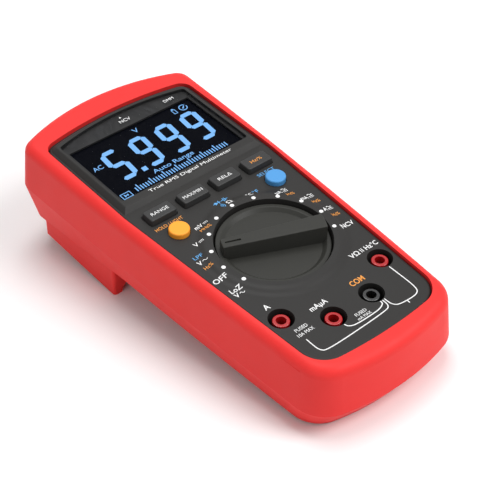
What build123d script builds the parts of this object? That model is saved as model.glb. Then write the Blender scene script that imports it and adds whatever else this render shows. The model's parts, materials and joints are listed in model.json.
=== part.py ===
from build123d import *
import copy
import os
from math import atan2, degrees

# Handheld digital multimeter in a rubber holster, with two probe holders and a tilt stand on its back.
#
# Everything is built in the case frame: the knob turns about Z, the flat of the face is z = 0,
# +Y runs towards the display and +X to the right. At the end the whole meter is laid on its back,
# tipped onto its probe holders and the heel of its jack end, as it rests on a bench.
# Every size is in millimetres.

# ---- Driving dimensions: outline of the holster at three heights --------------------------------
RIM_Z = 0.9
WIDE_Z = -19.8
LOW_Z = -36.8
SIDE_MID_Y = 20.0
#            half width at shoulder, mid, jack corner; y of shoulder, jack corner, top, end; corner radii
RIM_OUTLINE = (42.3, 39.3, 33.8, 109.4, -62.5, 119.4, -68.8, 7.0, 12.5)
WIDE_OUTLINE = (44.2, 41.1, 36.2, 110.6, -64.8, 121.0, -71.2, 8.0, 14.5)
LOW_OUTLINE = (40.8, 36.9, 31.2, 107.2, -56.4, 117.0, -61.8, 7.0, 11.5)
RIM_ROUND = 4.6

# ---- Driving dimensions: face -------------------------------------------------------------------
FACE_HALF = 36.9
FACE_HALF_JACK = 30.5
FACE_SHOULDER_Y = 101.2
FACE_TOP_Y = 105.6
FACE_WAIST_Y = 45.0
FACE_CORNER_Y = -59.0
FACE_END_Y = -61.4
FACE_CORNER_R = 6.0
FACE_JACK_R = 11.0
FACE_EDGE_ROUND = 1.3
FACE_WALL = 2.4
LIP_UNDER_Z = -2.2
LIP_GAP = 0.25

# ---- Driving dimensions: shells -----------------------------------------------------------------
HOLSTER_WALL = 3.0
SHELL_GAP = 0.1
SHELL_WALL = 2.0
PARTING_Z = -12.6
BACK_Z = -27.4
HEEL_Z = -29.8
TOE_Z = -36.4
SLOPE_START_Y = 45.0
SLOPE_END_Y = 110.0

# ---- Driving dimensions: knob -------------------------------------------------------------------
DIAL_RISE = 1.2
DIAL_TOP_R = 25.2
DIAL_FOOT_R = 30.4
WELL_MOUTH_FLARE = 0.3
KNOB_R = 22.4
KNOB_GAP = 0.5
BAR_R = 20.8
KNOB_DROP = 1.9
KNOB_DISH = 1.3
KNOB_THICK = 5.7
KNOB_RING = 1.9
BAR_HALF_POINTER = 2.2
BAR_HALF_TAIL = 3.9
BAR_RISE_POINTER = 3.0
BAR_RISE_TAIL = 4.3
BAR_DRAFT = 0.7
WELL_FLOOR = 1.6
HUB_R = 5.0
SHAFT_R = 3.0
RUNNING_GAP = 0.06
POINTER_ANGLE = 157.5
DETENT_STEP = 22.5
DETENT_WALL = 2.6
DETENT_HOLLOW_R = 1.0
BALL_R = 0.7
BALL_BORE_R = 0.75
BORE_DEPTH = 6.0
SPRING_R = 0.55
SPRING_WIRE_R = 0.14
SPRING_TURNS = 5
ROTOR_FLOAT = 0.8
KNOB_FLOAT = 0.5
KNOB_EDGE_ROUND = 0.45
BAR_EDGE_ROUND = 0.35
KNOB_DISH_SLOPE = 1.6
SEAL_RING_R = 2.5
SEAL_RING_WIRE_R = 0.68
SEAL_GROOVE = 0.9
SEAL_GROOVE_DEPTH = 0.9
POINTER_LINE = (6.4, 1.0)
POINTER_LINE_DEPTH = 0.4

# ---- Driving dimensions: display ----------------------------------------------------------------
BEZEL_RISE = 1.9
BEZEL_START_Y = 47.6
BEZEL_INSET = 3.4
BEZEL_EDGE_ROUND = 1.2
LENS_HALF = 32.3
LENS_BOTTOM_Y = 53.3
LENS_SIDE_Y = 96.4
LENS_TOP_Y = 100.8
LENS_DROP = 0.4
LENS_THICK = 1.0
VIEW_HALF = 30.8
VIEW_BOTTOM_Y = 54.6
VIEW_TOP_Y = 91.8
LCD_MARGIN = 2.6
LCD_THICK = 2.4
LCD_COVER = 0.9
BACKLIGHT_THICK = 3.0
FRAME_WALL = 1.15
FRAME_SLACK = 0.1
FRAME_LEDGE = 1.2
STRIP_WIDTH = 2.2
STRIP_GAP = 0.4

# ---- Driving dimensions: keys and buttons -------------------------------------------------------
KEY_PITCH = 16.4
KEY_Y = 39.2
KEY_LENGTH = 13.0
KEY_WIDTH = 7.2
KEY_RISE = 2.4
KEY_DRAFT = 12.0
BUTTON_X = 24.6
BUTTON_Y = 26.9
BUTTON_R = 4.2
BUTTON_RISE = 2.2
KEY_GAP = 0.25
KEY_FLANGE = 1.0
KEY_FLANGE_THICK = 1.2
KEY_TRAVEL = 0.8
KEY_REST_GAP = 0.2
POST_GAP = 0.1
KEY_CORNER = 1.2
KEY_STEM_R = 2.8
KEY_STEM = 0.9
KEY_PLINTH = 0.2
KEY_EDGE_ROUND = 0.55
BUTTON_EDGE_ROUND = 0.7

# ---- Driving dimensions: input jacks ------------------------------------------------------------
JACK_INNER = (9.5, -43.9)
JACK_OUTER = (24.85, -32.7)
JACK_RECESS_R = 5.0
JACK_CUP_WALL = 1.5
SHROUD_R = 3.3
SHROUD_MOUTH_DEPTH = 5.0
SHROUD_DROP = 1.0
SOCKET_BORE_R = 2.0
SOCKET_WALL = 0.7
SOCKET_DEPTH = 16.5
SOCKET_END = 1.5
SLIP_GAP = 0.05

# ---- Driving dimensions: board and what it carries ------------------------------------------------
BOARD_TOP_Z = -11.8
BOARD_THICK = 1.6
BOARD_EDGE_GAP = 0.8
FUSE_R = 3.2
FUSE_LENGTH = 32.0
FUSE_X = 27.6
FUSE_MID_Y = 2.0
FUSE_DROP = 0.8
CELL_R = 7.2
CELL_LENGTH = 50.0
CELL_GAP = 0.2
CELL_MID_Y = 10.4
DOOR_THICK = 1.6
SEAL_THICK = 0.4
SEAL_MARGIN = 1.8
SEAL_SLACK = 0.8
DOOR_EDGE_ROUND = 0.5
DOOR_WINDOW_GAP = 1.5
BOX_ROUND = 3.0
BOX_WALL = 3.0
BOX_END_WALL = 6.6
CONTACT_THICK = 0.5
CONTACT_SPACE = 0.8
DOOR_SCREW_X = 12.0

#        place on the board, then length, width and height
CHIPS = (
    (0, -27.5, 9.0, 9.0, 1.4),
    (-27.0, -2.0, 5.0, 5.0, 1.6),
    (27.5, 4.0, 5.0, 6.0, 1.6),
    (0, -55.5, 8.0, 4.0, 1.4),
    (-12.0, 73.0, 14.0, 14.0, 1.4),
    (14.0, 70.0, 8.0, 12.0, 1.8),
)

# ---- Driving dimensions: probe holders and tilt stand ---------------------------------------------
FOOT_Z = -44.8
HOLDER_INNER_X = 22.0
HOLDER_OUTER_X = 39.8
HOLDER_NEAR_Y = 52.0
HOLDER_FAR_Y = 102.2
HOLDER_ROUND = 1.4
GROOVE_R = 5.0
GROOVE_X = 30.9
STAND_GAP = 0.6
STAND_PIVOT_Y = 57.0
STAND_PIVOT_DROP = 3.6
STAND_BARREL_R = 2.6
STAND_LENGTH = 47.0
STAND_SKIN = 2.4
STAND_RAIL = 4.0
STAND_CORNER = 5.0
FINGER_R = 7.0
FINGER_DEPTH = 4.0
PIN_R = 1.5
PIN_BITE = 2.6

# ---- Driving dimensions: screws -------------------------------------------------------------------
CASE_SCREWS = ((28.0, 99.6), (17.0, -54.0))
BOARD_SCREWS = ((32.9, 46.0),)
SCREW_R = 1.25
SCREW_HEAD_R = 2.5
SCREW_HEAD = 2.0
SCREW_SINK = 6.0
SCREW_PLAY = 0.15
DOOR_SCREW_HEAD = 1.4
BOARD_SCREW_HEAD = 1.6
DOOR_SCREW_BITE = 7.0
CASE_SCREW_BITE = 3.0
BOSS_R = 2.4
POST_R = 3.4

SMALL = 0.02
REACH = 300.0

# ---- Heights that follow -------------------------------------------------------------------------
DIAL_Z = DIAL_RISE
KNOB_RING_Z = DIAL_Z - KNOB_DROP
KNOB_FLOOR_Z = KNOB_RING_Z - KNOB_DISH
KNOB_BOTTOM_Z = KNOB_RING_Z - KNOB_THICK
WELL_R = KNOB_R + KNOB_GAP
WELL_MOUTH_R = WELL_R + WELL_MOUTH_FLARE
WELL_FLOOR_Z = KNOB_BOTTOM_Z - KNOB_FLOAT
WELL_UNDER_Z = WELL_FLOOR_Z - WELL_FLOOR
BOARD_UNDER_Z = BOARD_TOP_Z - BOARD_THICK
LENS_TOP_Z = BEZEL_RISE - LENS_DROP
LENS_UNDER_Z = LENS_TOP_Z - LENS_THICK
LCD_TOP_Z = LENS_UNDER_Z - LCD_COVER
LCD_UNDER_Z = LCD_TOP_Z - LCD_THICK
BACKLIGHT_UNDER_Z = LCD_UNDER_Z - BACKLIGHT_THICK
KEY_FLANGE_Z = -FACE_WALL - KEY_REST_GAP
KEY_STEM_Z = KEY_FLANGE_Z - KEY_FLANGE_THICK - KEY_STEM
MEMBRANE_TOP_Z = KEY_STEM_Z - KEY_TRAVEL - POST_GAP
SHROUD_TOP_Z = -SHROUD_DROP
SOCKET_TOP_Z = SHROUD_TOP_Z - SHROUD_MOUTH_DEPTH
SOCKET_R = SOCKET_BORE_R + SOCKET_WALL
SOCKET_BOTTOM_Z = SOCKET_TOP_Z - SOCKET_DEPTH - SOCKET_END
JACK_FLOOR_Z = BOARD_TOP_Z + JACK_CUP_WALL + 0.1
CELL_TOP_Z = BOARD_UNDER_Z - 1.3
CELL_Z = CELL_TOP_Z - CELL_R
BOX_RIM_Z = CELL_Z - CELL_R - CELL_GAP + SEAL_THICK
DOOR_TOP_Z = BOX_RIM_Z - SEAL_THICK
DOOR_UNDER_Z = DOOR_TOP_Z - DOOR_THICK
CELL_X = CELL_R + CELL_GAP / 2
BAY_HALF_X = 2 * CELL_R + 1.5 * CELL_GAP
BAY_NEAR_Y = CELL_MID_Y - CELL_LENGTH / 2 - CONTACT_SPACE
BAY_FAR_Y = CELL_MID_Y + CELL_LENGTH / 2 + CONTACT_SPACE
BOX_HALF_X = BAY_HALF_X + BOX_WALL
BOX_NEAR_Y = BAY_NEAR_Y - BOX_END_WALL
BOX_FAR_Y = BAY_FAR_Y + BOX_WALL
STAND_PIVOT_Z = HEEL_Z - STAND_PIVOT_DROP
STAND_HALF_X = HOLDER_INNER_X - STAND_GAP
STAND_MID_Y = STAND_PIVOT_Y + STAND_LENGTH / 2
BOX_MID_Y = (BOX_NEAR_Y + BOX_FAR_Y) / 2
BAY_MID_Y = (BAY_NEAR_Y + BAY_FAR_Y) / 2
HOLDER_MID_X = (HOLDER_INNER_X + HOLDER_OUTER_X) / 2
HOLDER_MID_Y = (HOLDER_NEAR_Y + HOLDER_FAR_Y) / 2
VIEW_MID_Y = (VIEW_BOTTOM_Y + VIEW_TOP_Y) / 2
VIEW_HEIGHT = VIEW_TOP_Y - VIEW_BOTTOM_Y
LCD_HALF_X = VIEW_HALF + LCD_MARGIN
LCD_LOW_Y = VIEW_BOTTOM_Y - LCD_MARGIN
LCD_HIGH_Y = VIEW_TOP_Y + LCD_MARGIN
LCD_HEIGHT = VIEW_HEIGHT + 2 * LCD_MARGIN
FUSE_Z = BOARD_UNDER_Z - FUSE_R - FUSE_DROP
DETENT_WALL_R = WELL_R - DETENT_WALL
ROTOR_R = DETENT_WALL_R - 0.4
BORE_Z = (BOARD_TOP_Z + WELL_UNDER_Z + 0.1) / 2
BALL_X = DETENT_WALL_R - BALL_R - SLIP_GAP
DOOR_SCREWS = ((DOOR_SCREW_X, BOX_NEAR_Y + BOX_END_WALL / 2),)

pieces = []


def keep(part, label):
    """Label a finished part and put it on the list that is written at the end."""
    part.label = label
    pieces.append(part)
    return part


def case_outline(sizes, inset):
    """Outline of the case at one height: crowned ends, bowed sides, four round corners."""
    shoulder, mid, corner, shoulder_y, corner_y, top_y, end_y, top_r, end_r = sizes
    with BuildSketch() as outline:
        with BuildLine():
            ThreePointArc((shoulder - inset, shoulder_y - inset), (mid - inset, SIDE_MID_Y),
                          (corner - inset, corner_y + inset))
            ThreePointArc((corner - inset, corner_y + inset), (0, end_y + inset),
                          (inset - corner, corner_y + inset))
            ThreePointArc((inset - corner, corner_y + inset), (inset - mid, SIDE_MID_Y),
                          (inset - shoulder, shoulder_y - inset))
            ThreePointArc((inset - shoulder, shoulder_y - inset), (0, top_y - inset),
                          (shoulder - inset, shoulder_y - inset))
        make_face()
        fillet(outline.vertices().group_by(Axis.Y)[-1], max(top_r - inset, 1.0))
        fillet(outline.vertices().group_by(Axis.Y)[0], max(end_r - inset, 1.0))
    return outline.sketch


def case_body(inset, low_z, high_z):
    """The case form, shrunk by inset, between two heights."""
    with BuildPart() as body:
        for sizes, z in ((LOW_OUTLINE, LOW_Z), (WIDE_OUTLINE, WIDE_Z)):
            with BuildSketch(Plane.XY.offset(z)):
                add(case_outline(sizes, inset))
        loft(ruled=True)
        for sizes, z in ((WIDE_OUTLINE, WIDE_Z), (RIM_OUTLINE, RIM_Z)):
            with BuildSketch(Plane.XY.offset(z)):
                add(case_outline(sizes, inset))
        loft(ruled=True)
        with BuildSketch(Plane.XY.offset(low_z)):
            Rectangle(REACH, REACH)
        extrude(amount=high_z - low_z, mode=Mode.INTERSECT)
    return body.part


def face_outline(inset):
    """Outline of the face inside the holster's lip: straight sides that taper below the display."""
    with BuildSketch() as outline:
        with BuildLine():
            right = Polyline((FACE_HALF, FACE_SHOULDER_Y), (FACE_HALF, FACE_WAIST_Y),
                             (FACE_HALF_JACK, FACE_CORNER_Y))
            ThreePointArc(right @ 1, (0, FACE_END_Y), (-FACE_HALF_JACK, FACE_CORNER_Y))
            left = Polyline((-FACE_HALF_JACK, FACE_CORNER_Y), (-FACE_HALF, FACE_WAIST_Y),
                            (-FACE_HALF, FACE_SHOULDER_Y))
            ThreePointArc(left @ 1, (0, FACE_TOP_Y), right @ 0)
        make_face()
        fillet(outline.vertices().group_by(Axis.Y)[-1], FACE_CORNER_R)
        fillet(outline.vertices().group_by(Axis.Y)[0], FACE_JACK_R)
        if inset:
            offset(amount=-inset, mode=Mode.REPLACE)
    return outline.sketch


def lens_outline(inset):
    """Outline of the display window: square below, arched above."""
    half = LENS_HALF - inset
    with BuildSketch() as outline:
        with BuildLine():
            Polyline((-half, LENS_SIDE_Y - inset), (-half, LENS_BOTTOM_Y + inset),
                     (half, LENS_BOTTOM_Y + inset), (half, LENS_SIDE_Y - inset))
            ThreePointArc((half, LENS_SIDE_Y - inset), (0, LENS_TOP_Y - inset), (-half, LENS_SIDE_Y - inset))
        make_face()
        fillet(outline.vertices(), 1.5)
    return outline.sketch


def mirrored(points):
    """Each point and its mirror image across the YZ plane."""
    return [(side * x, y) for x, y in points for side in (-1, 1)]


def key_places():
    """Centres of the four rectangular keys, left to right."""
    return [((column - 1.5) * KEY_PITCH, KEY_Y) for column in range(4)]


# ---- Holster: rubber boot with a front lip, a back window, two probe holders and the stand's bay ----
with BuildPart() as holster:
    add(case_body(0, LOW_Z, RIM_Z))
    fillet(holster.faces().sort_by(Axis.Z)[-1].edges(), RIM_ROUND)
    with BuildSketch(Plane.YZ) as underside:
        with BuildLine():
            Polyline((-REACH, HEEL_Z), (SLOPE_START_Y, HEEL_Z), (SLOPE_END_Y, TOE_Z), (REACH, TOE_Z),
                     (REACH, -REACH), (-REACH, -REACH), close=True)
        make_face()
    extrude(amount=REACH, both=True, mode=Mode.SUBTRACT)
    with BuildSketch(Plane.XY.offset(FOOT_Z)):
        for side in (-1, 1):
            with Locations((side * HOLDER_MID_X, HOLDER_MID_Y)):
                RectangleRounded(HOLDER_OUTER_X - HOLDER_INNER_X, HOLDER_FAR_Y - HOLDER_NEAR_Y, HOLDER_ROUND)
    extrude(amount=HEEL_Z - FOOT_Z + 0.5)
    with BuildSketch(Plane.XZ.offset(-HOLDER_NEAR_Y + 1)):
        with Locations((-GROOVE_X, FOOT_Z), (GROOVE_X, FOOT_Z)):
            Circle(GROOVE_R)
    extrude(amount=-(HOLDER_FAR_Y - HOLDER_NEAR_Y) - 2, mode=Mode.SUBTRACT)
    with BuildSketch(Plane.XY.offset(TOE_Z - REACH)):
        with Locations((0, (HOLDER_NEAR_Y + SLOPE_END_Y) / 2)):
            RectangleRounded(2 * HOLDER_INNER_X, SLOPE_END_Y - HOLDER_NEAR_Y, 3.0)
    extrude(amount=HEEL_Z - TOE_Z + REACH, mode=Mode.SUBTRACT)
    add(case_body(HOLSTER_WALL, BACK_Z, LIP_UNDER_Z), mode=Mode.SUBTRACT)
    with BuildSketch(Plane.XY.offset(LIP_UNDER_Z - 1)):
        add(face_outline(0))
    extrude(amount=REACH, mode=Mode.SUBTRACT)
    with BuildSketch(Plane.XY.offset(HEEL_Z - 1)):
        with Locations((0, BOX_MID_Y)):
            RectangleRounded(2 * (BOX_HALF_X + DOOR_WINDOW_GAP), BOX_FAR_Y - BOX_NEAR_Y + 2 * DOOR_WINDOW_GAP,
                             BOX_ROUND + 1.0)
    extrude(amount=BACK_Z - HEEL_Z + 2, mode=Mode.SUBTRACT)
    with BuildSketch(Plane.YZ):
        with Locations((STAND_PIVOT_Y, STAND_PIVOT_Z)):
            Circle(PIN_R + SLIP_GAP)
    extrude(amount=HOLDER_INNER_X + PIN_BITE + SLIP_GAP, both=True, mode=Mode.SUBTRACT)
keep(holster.part, "holster")

# ---- Front housing: face, dial, knob well, jack cups, bosses ----------------------------------------
with BuildPart() as front_housing:
    add(case_body(HOLSTER_WALL + SHELL_GAP, PARTING_Z, LIP_UNDER_Z - SHELL_GAP))
    with BuildSketch(Plane.XY.offset(-FACE_WALL)):
        add(face_outline(LIP_GAP))
    extrude(amount=FACE_WALL)
    fillet(front_housing.faces().sort_by(Axis.Z)[-1].edges(), FACE_EDGE_ROUND)
    add(case_body(HOLSTER_WALL + SHELL_GAP + SHELL_WALL, PARTING_Z, LIP_UNDER_Z - SHELL_WALL),
        mode=Mode.SUBTRACT)
    with BuildSketch(Plane.XY.offset(PARTING_Z)):
        add(face_outline(LIP_GAP + SHELL_WALL))
    extrude(amount=-FACE_WALL - PARTING_Z, mode=Mode.SUBTRACT)
    # Display bezel, a tapered plateau above the face.
    with BuildSketch(Plane.XY):
        add(face_outline(LIP_GAP + FACE_EDGE_ROUND))
        with Locations((0, BEZEL_START_Y - REACH / 2)):
            Rectangle(REACH, REACH, mode=Mode.SUBTRACT)
    extrude(amount=BEZEL_RISE, taper=degrees(atan2(BEZEL_INSET - FACE_EDGE_ROUND, BEZEL_RISE)))
    fillet(front_housing.faces().sort_by(Axis.Z)[-1].edges(), BEZEL_EDGE_ROUND)
    with BuildSketch(Plane.XY.offset(LENS_UNDER_Z)):
        add(lens_outline(0))
    extrude(amount=REACH, mode=Mode.SUBTRACT)
    # Raised dial around the knob.
    with BuildSketch(Plane.XZ):
        with BuildLine():
            rise = TangentArc((DIAL_FOOT_R, 0), ((DIAL_FOOT_R + DIAL_TOP_R) / 2, DIAL_Z / 2), tangent=(-1, 0))
            TangentArc(rise @ 1, (DIAL_TOP_R, DIAL_Z), tangent=rise % 1)
            Polyline((DIAL_TOP_R, DIAL_Z), (0, DIAL_Z), (0, -1), (DIAL_FOOT_R, -1), (DIAL_FOOT_R, 0))
        make_face()
    revolve(axis=Axis.Z)
    # Knob well: conical mouth, straight wall, floor with the hub's bearing.
    with BuildSketch(Plane.XY.offset(WELL_UNDER_Z)):
        Circle(WELL_R + WELL_FLOOR)
    extrude(amount=-FACE_WALL - WELL_UNDER_Z)
    with BuildSketch(Plane.XZ):
        with BuildLine():
            Polyline((0, WELL_FLOOR_Z), (WELL_R, WELL_FLOOR_Z), (WELL_R, KNOB_RING_Z - 0.4),
                     (WELL_MOUTH_R, DIAL_Z), (WELL_MOUTH_R, DIAL_Z + 5), (0, DIAL_Z + 5), close=True)
        make_face()
    revolve(axis=Axis.Z, mode=Mode.SUBTRACT)
    with BuildSketch(Plane.XY.offset(WELL_UNDER_Z - 1)):
        Circle(HUB_R + RUNNING_GAP)
    extrude(amount=WELL_FLOOR + 2, mode=Mode.SUBTRACT)
    # Scalloped detent wall under the well floor, one hollow for each switch position.
    with BuildSketch(Plane.XY.offset(BOARD_TOP_Z + 0.6)):
        Circle(WELL_R - 0.8)
        Circle(DETENT_WALL_R, mode=Mode.SUBTRACT)
        with PolarLocations(DETENT_WALL_R + 0.4, round(360 / DETENT_STEP), POINTER_ANGLE):
            Circle(DETENT_HOLLOW_R, mode=Mode.SUBTRACT)
    extrude(amount=WELL_UNDER_Z - BOARD_TOP_Z - 0.6)
    # Window through the bezel, with a pocket under it for the LCD.
    with BuildSketch(Plane.XY.offset(-FACE_WALL - 1)):
        with Locations((0, VIEW_MID_Y)):
            Rectangle(2 * VIEW_HALF, VIEW_HEIGHT)
    extrude(amount=REACH, mode=Mode.SUBTRACT)
    with BuildSketch(Plane.XY.offset(-FACE_WALL - 1)):
        with Locations((0, VIEW_MID_Y)):
            Rectangle(2 * (LCD_HALF_X + SLIP_GAP), LCD_HEIGHT + 2 * SLIP_GAP)
    extrude(amount=LCD_TOP_Z + SLIP_GAP + FACE_WALL + 1, mode=Mode.SUBTRACT)
    # Holes for keys and buttons.
    with BuildSketch(Plane.XY.offset(-FACE_WALL - 1)):
        with Locations(*key_places()):
            RectangleRounded(KEY_LENGTH + 2 * KEY_GAP, KEY_WIDTH + 2 * KEY_GAP, KEY_CORNER + KEY_GAP)
        with Locations(*mirrored([(BUTTON_X, BUTTON_Y)])):
            Circle(BUTTON_R + KEY_GAP)
    extrude(amount=FACE_WALL + 2, mode=Mode.SUBTRACT)
    # Jack cups, which stand just clear of the board.
    with BuildSketch(Plane.XY.offset(JACK_FLOOR_Z - JACK_CUP_WALL)):
        with Locations(*mirrored([JACK_INNER, JACK_OUTER])):
            Circle(JACK_RECESS_R + JACK_CUP_WALL)
    extrude(amount=-1 - JACK_FLOOR_Z + JACK_CUP_WALL)
    with BuildSketch(Plane.XY.offset(JACK_FLOOR_Z)):
        with Locations(*mirrored([JACK_INNER, JACK_OUTER])):
            Circle(JACK_RECESS_R)
    extrude(amount=REACH, mode=Mode.SUBTRACT)
    with BuildSketch(Plane.XY.offset(JACK_FLOOR_Z - JACK_CUP_WALL - 1)):
        with Locations(*mirrored([JACK_INNER, JACK_OUTER])):
            Circle(SHROUD_R + SLIP_GAP)
    extrude(amount=JACK_CUP_WALL + 2, mode=Mode.SUBTRACT)
    # Screw bosses, from the face's underside to the board.
    with BuildSketch(Plane.XY.offset(BOARD_TOP_Z + SMALL)):
        with Locations(*mirrored(CASE_SCREWS + BOARD_SCREWS)):
            Circle(BOSS_R)
    extrude(amount=-1 - BOARD_TOP_Z)
    with BuildSketch(Plane.XY.offset(BOARD_TOP_Z)):
        with Locations(*mirrored(CASE_SCREWS + BOARD_SCREWS)):
            Circle(SCREW_R + SMALL)
    extrude(amount=-FACE_WALL - 1.6 - BOARD_TOP_Z, mode=Mode.SUBTRACT)
keep(front_housing.part, "front_housing")

# ---- Rear housing: tray with the battery box, spacer posts for the screws ---------------------------
with BuildPart() as rear_housing:
    add(case_body(HOLSTER_WALL + SHELL_GAP, BACK_Z, PARTING_Z - SHELL_GAP))
    add(case_body(HOLSTER_WALL + SHELL_GAP + SHELL_WALL, BACK_Z + SHELL_WALL, PARTING_Z), mode=Mode.SUBTRACT)
    with BuildSketch(Plane.XY.offset(BOX_RIM_Z)):
        with Locations((0, BOX_MID_Y)):
            RectangleRounded(2 * BOX_HALF_X, BOX_FAR_Y - BOX_NEAR_Y, BOX_ROUND)
    extrude(amount=BOARD_UNDER_Z - 0.2 - BOX_RIM_Z)
    with BuildSketch(Plane.XY.offset(BOX_RIM_Z)):
        with Locations((0, BAY_MID_Y)):
            Rectangle(2 * BAY_HALF_X, BAY_FAR_Y - BAY_NEAR_Y)
    extrude(amount=CELL_TOP_Z + CELL_GAP - BOX_RIM_Z, mode=Mode.SUBTRACT)
    with BuildSketch(Plane.XY.offset(BACK_Z)):
        with Locations(*mirrored(CASE_SCREWS)):
            Circle(POST_R)
    extrude(amount=BOARD_UNDER_Z - SMALL - BACK_Z)
    with BuildSketch(Plane.XY.offset(BACK_Z - 1)):
        with Locations(*mirrored(CASE_SCREWS)):
            Circle(SCREW_R + SCREW_PLAY)
    extrude(amount=BOARD_UNDER_Z - BACK_Z + 2, mode=Mode.SUBTRACT)
    with BuildSketch(Plane.XY.offset(BACK_Z - 1)):
        with Locations(*mirrored(CASE_SCREWS)):
            Circle(SCREW_HEAD_R + 0.2)
    extrude(amount=SCREW_SINK + 1, mode=Mode.SUBTRACT)
    with BuildSketch(Plane.XY.offset(BOX_RIM_Z)):
        with Locations(*mirrored(DOOR_SCREWS)):
            Circle(SCREW_R + SMALL)
    extrude(amount=DOOR_SCREW_BITE + 2, mode=Mode.SUBTRACT)
keep(rear_housing.part, "rear_housing")

# ---- Battery door with its seal and screws ----------------------------------------------------------
with BuildPart() as battery_door:
    with BuildSketch(Plane.XY.offset(DOOR_UNDER_Z)):
        with Locations((0, BOX_MID_Y)):
            RectangleRounded(2 * BOX_HALF_X, BOX_FAR_Y - BOX_NEAR_Y, BOX_ROUND)
    extrude(amount=DOOR_THICK)
    fillet(battery_door.faces().sort_by(Axis.Z)[0].edges(), DOOR_EDGE_ROUND)
    with BuildSketch(Plane.XY.offset(DOOR_UNDER_Z - 1)):
        with Locations(*mirrored(DOOR_SCREWS)):
            Circle(SCREW_R + SCREW_PLAY)
    extrude(amount=DOOR_THICK + 2, mode=Mode.SUBTRACT)
keep(battery_door.part, "battery_door")

with BuildPart() as battery_seal:
    with BuildSketch(Plane.XY.offset(DOOR_TOP_Z)):
        with Locations((0, BAY_MID_Y)):
            RectangleRounded(2 * (BAY_HALF_X + SEAL_MARGIN), BAY_FAR_Y - BAY_NEAR_Y + 2 * SEAL_MARGIN,
                             SEAL_MARGIN)
            RectangleRounded(2 * (BAY_HALF_X + SEAL_SLACK), BAY_FAR_Y - BAY_NEAR_Y + 2 * SEAL_SLACK,
                             SEAL_SLACK, mode=Mode.SUBTRACT)
    extrude(amount=SEAL_THICK)
keep(battery_seal.part, "battery_seal")


def screws(places, head_under_z, head_height, tip_z):
    """Pan-head screws driven up along +Z: the heads hang below head_under_z."""
    with BuildPart() as group:
        with BuildSketch(Plane.XY.offset(head_under_z - head_height)):
            with Locations(*places):
                Circle(SCREW_HEAD_R)
        extrude(amount=head_height)
        fillet(group.faces().group_by(Axis.Z)[0].edges(), 0.5)
        with BuildSketch(Plane.XY.offset(head_under_z)):
            with Locations(*places):
                Circle(SCREW_R)
        extrude(amount=tip_z - head_under_z)
        with BuildSketch(Plane.XY.offset(head_under_z - head_height)):
            with Locations(*places):
                Rectangle(0.7, 3.0)
                Rectangle(3.0, 0.7)
        extrude(amount=head_height * 0.6, mode=Mode.SUBTRACT)
    return group.part


door_screw_tip = BOX_RIM_Z + DOOR_SCREW_BITE
keep(screws(mirrored(DOOR_SCREWS), DOOR_UNDER_Z, DOOR_SCREW_HEAD, door_screw_tip), "door_screws")
case_screw_tip = -FACE_WALL - CASE_SCREW_BITE
keep(screws(mirrored(CASE_SCREWS), BACK_Z + SCREW_SINK, SCREW_HEAD, case_screw_tip), "case_screws")
board_screw_tip = -FACE_WALL - CASE_SCREW_BITE - 1
keep(screws(mirrored(BOARD_SCREWS), BOARD_UNDER_Z - SMALL, BOARD_SCREW_HEAD, board_screw_tip), "board_screws")

# ---- Cells and their contacts -----------------------------------------------------------------------
with BuildPart() as cells:
    with BuildSketch(Plane.XZ.offset(-CELL_MID_Y + CELL_LENGTH / 2 - 1.0)):
        with Locations((-CELL_X, CELL_Z), (CELL_X, CELL_Z)):
            Circle(CELL_R)
    extrude(amount=-(CELL_LENGTH - 2.0))
    fillet(cells.edges().filter_by(GeomType.CIRCLE), 0.6)
    for side, pole_r in ((-1, 2.7), (1, 4.5)):
        with BuildSketch(Plane.XZ.offset(-CELL_MID_Y + CELL_LENGTH / 2)):
            with Locations((side * CELL_X, CELL_Z)):
                Circle(pole_r)
        extrude(amount=-1.0)
        with BuildSketch(Plane.XZ.offset(-CELL_MID_Y - CELL_LENGTH / 2 + 1.0)):
            with Locations((side * CELL_X, CELL_Z)):
                Circle(7.2 - pole_r)
        extrude(amount=-1.0)
keep(cells.part, "battery_cells")

with BuildPart() as contacts:
    for y, ahead in ((BAY_NEAR_Y, 1), (BAY_FAR_Y, -1)):
        for side in (-1, 1):
            with Locations((side * CELL_X, y + ahead * (CONTACT_THICK / 2 + SMALL), CELL_Z + 0.4)):
                Box(10.0, CONTACT_THICK, 11.0)
keep(contacts.part, "battery_contacts")

# ---- Display stack ------------------------------------------------------------------------------------
with BuildPart() as display_window:
    with BuildSketch(Plane.XY.offset(LENS_UNDER_Z)):
        add(lens_outline(SLIP_GAP))
    extrude(amount=LENS_THICK)
    fillet(display_window.faces().sort_by(Axis.Z)[-1].edges(), 0.2)
keep(display_window.part, "display_window")

with BuildPart() as lcd_glass:
    with BuildSketch(Plane.XY.offset(LCD_UNDER_Z)):
        with Locations((0, VIEW_MID_Y)):
            Rectangle(2 * LCD_HALF_X, LCD_HEIGHT)
    extrude(amount=LCD_THICK)
keep(lcd_glass.part, "lcd_glass")

with BuildPart() as backlight:
    with BuildSketch(Plane.XY.offset(BACKLIGHT_UNDER_Z)):
        with Locations((0, VIEW_MID_Y)):
            Rectangle(2 * LCD_HALF_X, LCD_HEIGHT - 2 * (STRIP_WIDTH + STRIP_GAP))
    extrude(amount=BACKLIGHT_THICK - SMALL)
keep(backlight.part, "backlight_panel")

with BuildPart() as strips:
    with BuildSketch(Plane.XY.offset(BOARD_TOP_Z + SMALL)):
        for y in (LCD_LOW_Y + STRIP_WIDTH / 2, LCD_HIGH_Y - STRIP_WIDTH / 2):
            with Locations((0, y)):
                Rectangle(2 * LCD_HALF_X - 6, STRIP_WIDTH)
    extrude(amount=LCD_UNDER_Z - BOARD_TOP_Z - 2 * SMALL)
keep(strips.part, "lcd_connector_strips")

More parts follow.
